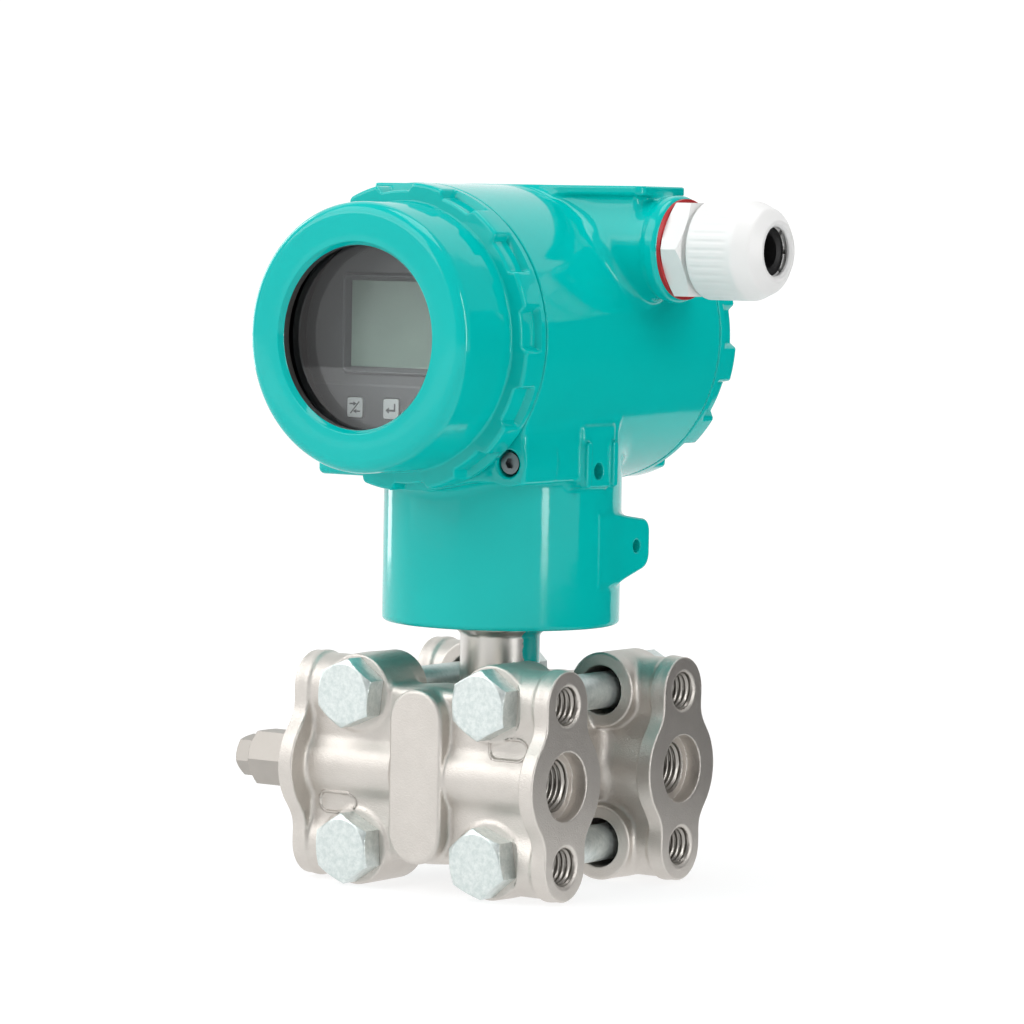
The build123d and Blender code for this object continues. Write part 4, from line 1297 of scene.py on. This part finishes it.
@dataclass
class ScrewedCover(Assembly):
    """Covers with a notched lug ring, a smooth barrel and a threaded spigot."""

    ring: float = 39.4
    floor: float = 37.4
    barrel: float = 34.3
    notches: int = 12
    phase: float = 4.5
    notch_half: Pair = (6.5, 8.8)
    rim: float = 2.3
    lug: float = 8.3
    spigot: Pair = (34.2, 35.95)
    front_places: Pair = (-37.95, -66.3)
    rear_places: Pair = (43.55, 56.0)
    opening: float = 24.3
    bore: Pair = (31.2, -64.9)
    front_inside: Corners = ((-28.45, 31.0, 0.3), (-52.7, 31.0, 0), (-52.7, 29.5, 0), (-55.9, 29.5, 0),
                             (-55.9, 27.5, 0), (-62.7, 27.5, 0), (-62.7, 23.3, 0.3), (-64.9, 23.3, 0.5))
    rear_inside: Corners = ((34.05, 31.0, 0.3), (52.8, 31.0, 1.5), (52.8, 0, 0))

    def notched(self, seam: float, way: int) -> Wave:
        """Wave that sinks the lug ring to the notch floor in twelve places.

        The lug ring's height above the barrel is scaled down to the floor's height by a mask, the product of
        a ramp across the notch's half angle and a ramp along the axis past the rim.

        Args:
            seam: Place of the seam face.
            way: Direction from the seam to the cover's face.

        Returns:
            The wave.
        """
        pitch = 2 * np.pi / self.notches

        def wave(turn: Array, place: Array, radius: Array) -> Array:
            """Radius inside the notches."""
            swing = np.abs((turn - np.radians(self.phase) + pitch / 2) % pitch - pitch / 2)
            across = 1 - smooth(swing, *np.radians(self.notch_half))
            out = (place - seam) * way
            mask = across * smooth(out, self.rim - 0.3, self.rim + 0.5)
            height = np.maximum(radius - self.barrel, 0)
            lower = height * (self.floor - self.barrel) / (self.ring - self.barrel)
            raised = (radius > self.barrel + 0.01) & (out > 0.1)
            return np.where(raised, radius - (height - lower) * mask, radius)
        return wave

    def outer_profile(self, seam: float, way: int, face: float, opening: float) -> list[Triple]:
        """Corners from the opening round the face, barrel, lug ring and groove to the spigot's end.

        Args:
            seam: Place of the seam face.
            way: Direction from the seam to the cover's face.
            face: Place of the cover's face.
            opening: Radius of the window opening, or zero.

        Returns:
            The corners.
        """
        lug = seam + way * self.lug
        groove, thread = self.spigot
        rim = [(seam + way * (self.rim + d), self.ring, 0) for d in (1.4, 0.8, 0.4, 0.0, -0.3, -1.1)]
        back = [(seam - way * 2.0, groove, 0), (seam - way * 2.0, thread, 0.2), (seam - way * 9.5, thread, 0.5)]
        return [(face, opening, 0.5 if opening else 0), (face, self.barrel, 3.4), (lug, self.barrel, 0.8),
                (lug, self.ring, 1.1), *rim, (seam, self.ring, 0.5), (seam, groove, 0), *back]

    def cover(self, name: str, places: Pair, opening: float, inside: Corners, body: str) -> Mesh:
        """One cover.

        Args:
            name: Name of the piece.
            places: Places of its seam and its face.
            opening: Radius of the window opening, or zero.
            inside: Corners from the spigot's end back to the opening or the axis.
            body: CAD body and node that it stands for.

        Returns:
            Its mesh.
        """
        seam, face = places
        way = 1 if face > seam else -1
        corners = [*self.outer_profile(seam, way, face, opening), *inside]
        mesh = self.shop.turned(name, Axis.Y, (0, self.axis_z), filleted(corners, 6, opening > 0), 480,
                                self.notched(seam, way))
        self.put(name, mesh, "paint", body, "teal_paint", body)
        return mesh

    def paint_shade_inside(self, mesh: Mesh) -> None:
        """Gives the faces behind the window's lip a dark colour, painted shade that stands in for the shade
        inside the cover.
        """
        radius, front = self.bore
        # painted shade: faces inside the cover's bore, behind the window lip, get the dark colour
        mesh.materials.append(self.finish["bore"])
        place = self.shop.read(mesh.polygons, "center")
        inside = (np.hypot(place[:, 0], place[:, 2] - self.axis_z) < radius) & (place[:, 1] > front)
        mesh.polygons.foreach_set("material_index", inside.astype(np.int32))

    def build(self) -> None:
        """The front cover, open at the window, and the closed rear cover."""
        self.paint_shade_inside(self.cover("window_cover", self.front_places, self.opening, self.front_inside,
                                      "front_cover"))
        self.cover("wiring_cover", self.rear_places, 0.0, self.rear_inside, "rear_cover")


@dataclass
class CableGland(Assembly):
    """Splined dome nut of the nylon gland; the gland's other pieces keep their CAD shape."""

    straight: float = 13.6
    splines: int = 36
    groove: float = 0.13

    def build(self) -> None:
        """Dome nut: splines on the straight part, a round nose and a bevelled mouth."""
        low, high = self.shop.span("gland_nut")
        start, end = low[0], high[0]
        straight = start + self.straight
        corners = [(start, 10.48, 0), (start, 12.8, 0.5), (straight, 12.8, 4.0), (end - 2.2, 10.9, 2.6),
                   (end, 7.9, 0.5), (end, 7.0, 0.3), (end - 0.8, 6.35, 0.2), (end - 1.4, 6.35, 0),
                   (end - 2.2, 8.15, 0), (straight - 4.2, 9.5, 0), (straight - 5.2, 10.48, 0)]
        profile = filleted(corners, 9, True)

        def wave(turn: Array, place: Array, radius: Array) -> Array:
            """Shallow grooves between the splines, fading at both ends of the straight part."""
            groove = smooth(np.cos(self.splines * turn), 0.25, 0.85)
            fade = smooth(place, start + 0.9, start + 1.6) * (1 - smooth(place, straight - 3.2, straight - 1.4))
            return np.where(radius > 12.2, radius - self.groove * groove * fade, radius)

        rows = [profile[0]]
        for before, after in zip(profile[:-1], profile[1:]):
            pieces = max(int(np.linalg.norm(after - before) / 0.8), 1)
            rows.extend(before + (after - before) * (k + 1) / pieces for k in range(pieces))
        mesh = self.shop.turned("gland_dome", Axis.X, self.entry, np.array(rows), 288, wave)
        self.put("gland_dome", mesh, "nylon", "gland_nut", "white_nylon", "gland_nut")


@dataclass
class Stem(Assembly):
    """Turned stem between the cell and the housing, with its collar and weld."""

    profile: Corners = ((0, 0, 0), (0, 10.55, 0), (35.0, 10.55, 1.5), (36.4, 12.2, 0.6), (38.18, 12.2, 0.3),
                        (38.18, 10.55, 0), (60.0, 10.55, 0.6), (60.0, 6.0, 0), (65.0, 6.0, 0.3), (65.0, 0, 0))

    def build(self) -> None:
        """Stem with a rounded collar under the neck."""
        mesh = self.shop.turned("turned_stem", Axis.Z, (0, 0), filleted(self.profile, 5), 128)
        self.put("turned_stem", mesh, "stem", "process_side", "machined_stainless", "sensor_stem")


@dataclass
class DisplayFront(Assembly):
    """Front plate of the display: raised frame with a sloped inside, ledge and three key holes."""

    face: float = -47.2
    thick: float = 3.2
    radius: float = 28.0
    window: Pair = (14.0, 11.0)
    rise: float = 3.2
    border: float = 1.7
    ledge: float = 101.2
    key_half: Pair = (2.55, 2.65)

    def solid(self) -> Solid:
        """The plate, its frame and ledge, less the window and the key holes."""
        face, back, middle = self.face, self.face + self.thick, (0, self.axis_z)
        centre = (0.0, self.axis_z + self.rise)
        body = rod(Axis.Y, middle, self.radius, face, back, 0.3)
        half = (self.window[0] + self.border, self.window[1] + self.border)
        frame = plate(Axis.Y, rounded_rectangle(centre, half, 1.4), face - 0.9, face + 1.0, 0.45)
        below = block((-40, face - 0.25, 60), (40, face + 1.0, self.ledge), 0.2)
        below = below.within(rod(Axis.Y, middle, self.radius, face - 1, back), 0.2)
        window = rounded_rectangle(centre, self.window, 0.3)
        mouth = Solid(lambda p: (window(p[0], p[2]) - np.maximum(face + 0.9 - p[1], 0) * 0.6) * 0.86)
        solid = body.join(frame, 0.5).join(below, 0.3).cut(mouth, 0.25)
        for spot in (-1, 0, 1):
            hole = rounded_rectangle((spot * self.key_pitch, self.key_height), self.key_half, 0.6)
            solid = solid.cut(plate(Axis.Y, hole, face - 2, back + 1), 0.15)
        return solid

    def build(self) -> None:
        """The plate as one moulded piece."""
        mesh = self.shop.cast("display_front", self.solid(), "display_bezel", 0.3, 0.35)
        self.put("display_front", mesh, "bezel", "housing", "grey_plastic", "display_bezel")


@dataclass
class KeyMarks(Assembly):
    """Plain signs on the three keys: two opposed arrows with a slash, a bent arrow and a triangle."""

    face: float = -47.75
    depth: float = 0.06
    arrow: Sequence[Pair] = ((-1.7, 0.78), (-0.5, 0.78), (-0.5, 0.4), (0.6, 0.95), (-0.5, 1.5), (-0.5, 1.12),
                             (-1.7, 1.12))
    slash: Sequence[Pair] = ((-1.55, -1.5), (-1.25, -1.62), (1.55, 1.5), (1.25, 1.62))
    bent: Sequence[Pair] = ((-1.7, -0.4), (-0.6, 0.4), (-0.6, -0.15), (0.95, -0.15), (0.95, 1.4), (1.4, 1.4),
                            (1.4, -0.65), (-0.6, -0.65), (-0.6, -1.2))
    down: Sequence[Pair] = ((-1.5, 1.0), (0.0, -1.3), (1.5, 1.0))

    def sign(self, name: str, outlines: Sequence[Sequence[Pair]], x: float, body: str) -> None:
        """Thin raised sign, each outline given a front, a back and sides.

        Args:
            name: Name of the piece.
            outlines: Outlines about the key's centre.
            x: Place of that centre.
            body: CAD body that it moves with.
        """
        points, faces = [], []
        for outline in outlines:
            count, base = len(outline), sum(len(part) for part in points)
            flat = np.array(outline)
            front = np.column_stack([flat[:, 0] + x, np.full(count, self.face - self.depth),
                                     flat[:, 1] + self.key_height])
            points += [front, front + (0, 2 * self.depth, 0)]
            faces += [(base + k, base + (k + 1) % count, base + count + (k + 1) % count, base + count + k)
                      for k in range(count)]
            faces += [tuple(base + k for k in range(count - 1, -1, -1)),
                      tuple(base + k for k in range(count, 2 * count))]
        mesh = bpy.data.meshes.new(name)
        mesh.from_pydata(self.shop.to_row(np.vstack(points)).tolist(), [], faces)
        self.shop.mend(mesh)
        self.put(name, mesh, "mark", body, "grey_plastic")

    def build(self) -> None:
        """One sign for each key."""
        astern = [(-u, -v) for u, v in self.arrow]
        for name, outlines, spot in (("left", [self.arrow, self.slash, astern], -1),
                                     ("middle", [self.bent], 0), ("right", [self.down], 1)):
            self.sign(f"key_sign_{name}", outlines, spot * self.key_pitch, f"key_{name}")


@dataclass
class CarriedNodes:
    """CAD nodes that keep their own shape and get their finish here."""

    frame: dict[str, Any]
    finish: Finishes
    dress: dict[str, str] = field(default_factory=lambda: {
        "glass": "window_glass",
        "anodised": "window_retainer",
        "rubber": "window_gasket front_cover_ring rear_cover_ring gland_seal flange_seal_high flange_seal_low",
        "panel": "lcd_panel",
        "board": "display_board",
        "key": "key_left key_middle key_right",
        "potting": "electronics_module terminal_block",
        "brass": "terminal_screws",
        "socket": "cover_lock_screw",
        "turned_x": "blanking_plug",
        "turned_y": "sensor_capsule diaphragm_high diaphragm_low",
        "washer": "gland_washer",
        "nylon": "gland_body gland_claw"})

    def build(self) -> None:
        """Gives each node its material."""
        for name, nodes in self.dress.items():
            for node in nodes.split():
                piece = self.frame["nodes"][node]
                if not piece.data.materials:
                    piece.data.materials.append(self.finish[name])
                for slot in piece.material_slots:
                    slot.material = self.finish[name]
                LOG.info("%s: %s", node, name)


@dataclass
class Studio:
    """Pale sweep, soft lamps and the camera."""

    shop: Workshop
    eye: Triple = (688.7, -977.9, 143.7)
    back: Triple = (0.5729, -0.8171, 0.0639)
    roll: float = 1.07
    lens: float = 159.72
    sensor: float = 36.0
    aim: Triple = (0.0, 0.0, 65.0)
    bend: float = 900.0
    floor_run: Pair = (-2600.0, 1500.0)
    wall_top: float = 3600.0
    half_width: float = 4000.0
    paper_tone: float = 0.86
    glow: float = 1.18
    whiteness: Pair = (0.66, 0.88)
    whitens: Pair = (0.3, 0.8)
    daylight: float = 0.30
    card_top: float = 420.0
    lamps: Sequence[tuple[str, Triple, Pair, float]] = (
        ("key", (-520, -760, 760), (1.2, 0.8), 8.5),
        ("side", (1060, -260, 330), (0.14, 0.8), 4.5),
        ("above", (60, 60, 1050), (0.6, 0.6), 4.5),
        ("left", (-1040, 250, 260), (0.2, 0.9), 2.4),
        ("fill", (-760, -1080, 160), (1.5, 1.1), 3.2))

    def camera(self) -> None:
        """Camera at the place and angle that were measured."""
        data = bpy.data.cameras.new("camera")
        data.lens, data.sensor_width, data.clip_end = self.lens, self.sensor, 20.0
        camera = self.shop.link("camera", data)
        back = Vector(self.back).normalized()
        right = Vector((0, 0, 1)).cross(back).normalized()
        up = back.cross(right)
        turn = np.radians(self.roll)
        tilted = right * np.cos(turn) + up * np.sin(turn)
        upright = up * np.cos(turn) - right * np.sin(turn)
        place = Vector(self.shop.to_row(np.array(self.eye)))
        camera.matrix_world = Matrix.Translation(place) @ Matrix((tilted, upright, back)).transposed().to_4x4()
        bpy.context.scene.camera = camera

    def lamp(self, name: str, place: Triple, size: Pair, power: float) -> None:
        """Soft rectangular lamp that faces the middle of the transmitter."""
        data = bpy.data.lights.new(name, "AREA")
        data.shape, data.size, data.size_y, data.energy = "RECTANGLE", size[0], size[1], power
        spot = Vector(self.shop.to_row(np.array(place)))
        turn = (Vector(self.shop.to_row(np.array(self.aim))) - spot).to_track_quat("-Z", "Y")
        self.shop.link(name, data).matrix_world = Matrix.Translation(spot) @ turn.to_matrix().to_4x4()

    def sweep(self) -> None:
        """Floor that curves up into a wall: a quarter circle between two flats, carried sideways."""
        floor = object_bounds()[0][2] / MM
        turn = np.linspace(0, np.pi / 2, 24)
        start, foot = self.floor_run
        run = np.concatenate([[start], foot + self.bend * np.sin(turn), [foot + self.bend]])
        rise = np.concatenate([[0.0], self.bend - self.bend * np.cos(turn), [self.wall_top]])
        across = np.linspace(-self.half_width, self.half_width, 3)[:, None]
        facing = np.array(self.back[:2]) / np.hypot(*self.back[:2])
        points = np.empty((3, len(run), 3))
        points[..., 0] = -facing[0] * run - facing[1] * across
        points[..., 1] = -facing[1] * run + facing[0] * across
        points[..., 2] = rise + floor
        mesh = self.shop.lattice("sweep", points)
        mesh.materials.append(self.paper())
        piece = self.shop.link("sweep", mesh)
        piece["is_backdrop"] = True

    def paper(self) -> Material:
        """White paper that keeps the shadow and shows nearly white to the eye and in reflections."""
        sheet = Sheet("studio_paper")
        diffuse = sheet.shader("BsdfDiffuse", Color=(*[self.paper_tone] * 3, 1.0))
        glow = sheet.shader("Emission", Color=(1.0, 1.0, 1.0, 1.0), Strength=self.glow)
        path = sheet.node("LightPath")
        seen = Wire(sheet, path.outputs["Is Camera Ray"])
        for kind in ("Is Glossy Ray", "Is Transmission Ray"):
            seen = seen.math("MAXIMUM", Wire(sheet, path.outputs[kind]))
        x, y = sheet.part(Axis.X), sheet.part(Axis.Y)
        whiter = between(*self.whiteness, (x * x + y * y).math("SQRT").ramp(*self.whitens))
        return sheet.blended(seen * whiter, diffuse, glow)

    def flags(self) -> None:
        """Dark cards on the right, seen only in reflections, which the milled end faces mirror."""
        black = Sheet("dark_card").principled(Base_Color=(0.012, 0.012, 0.012, 1.0), Roughness=0.9)
        ground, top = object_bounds()[0][2] / MM + 0.5, self.card_top
        near, far = ((62, 60), (900, -200)), ((250, 1150), (1150, 500))
        for name, corners, levels in (("dark_card_low", near + far, (ground, ground)),
                                      ("dark_card_high", far + far, (ground, top))):
            heights = np.repeat(levels, 2)[:, None]
            points = np.hstack([np.array(corners, dtype=float), heights]).reshape(2, 2, 3)
            mesh = self.shop.lattice(name, points)
            mesh.materials.append(black)
            card = self.shop.link(name, mesh)
            card.visible_camera = card.visible_diffuse = card.visible_shadow = False
            card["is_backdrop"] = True

    def world(self) -> None:
        """Even pale surroundings."""
        world = bpy.data.worlds.new("studio")
        bpy.context.scene.world = world
        world.use_nodes = True
        inputs = world.node_tree.nodes["Background"].inputs
        inputs[0].default_value, inputs[1].default_value = (1.0, 1.0, 1.0, 1.0), self.daylight

    def build(self) -> None:
        """The whole studio."""
        self.camera()
        self.world()
        self.sweep()
        for lamp in self.lamps:
            self.lamp(*lamp)
        self.flags()
        bpy.context.scene.view_settings.view_transform = "Standard"


def main() -> None:
    """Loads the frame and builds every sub-assembly in order."""
    logging.basicConfig(level=logging.INFO, format="%(name)s %(message)s")
    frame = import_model()
    shop = Workshop(frame)
    finish = Finishes(-shop.stem[0] / MM)
    Studio(shop).build()
    for assembly in (ProcessFlange, Threads, HexFasteners, HousingCasting, ScrewedCover, CableGland, Stem,
                     DisplayFront, KeyMarks):
        assembly(shop, finish).build()
    CarriedNodes(frame, finish).build()


if __name__ == "__main__":
    main()
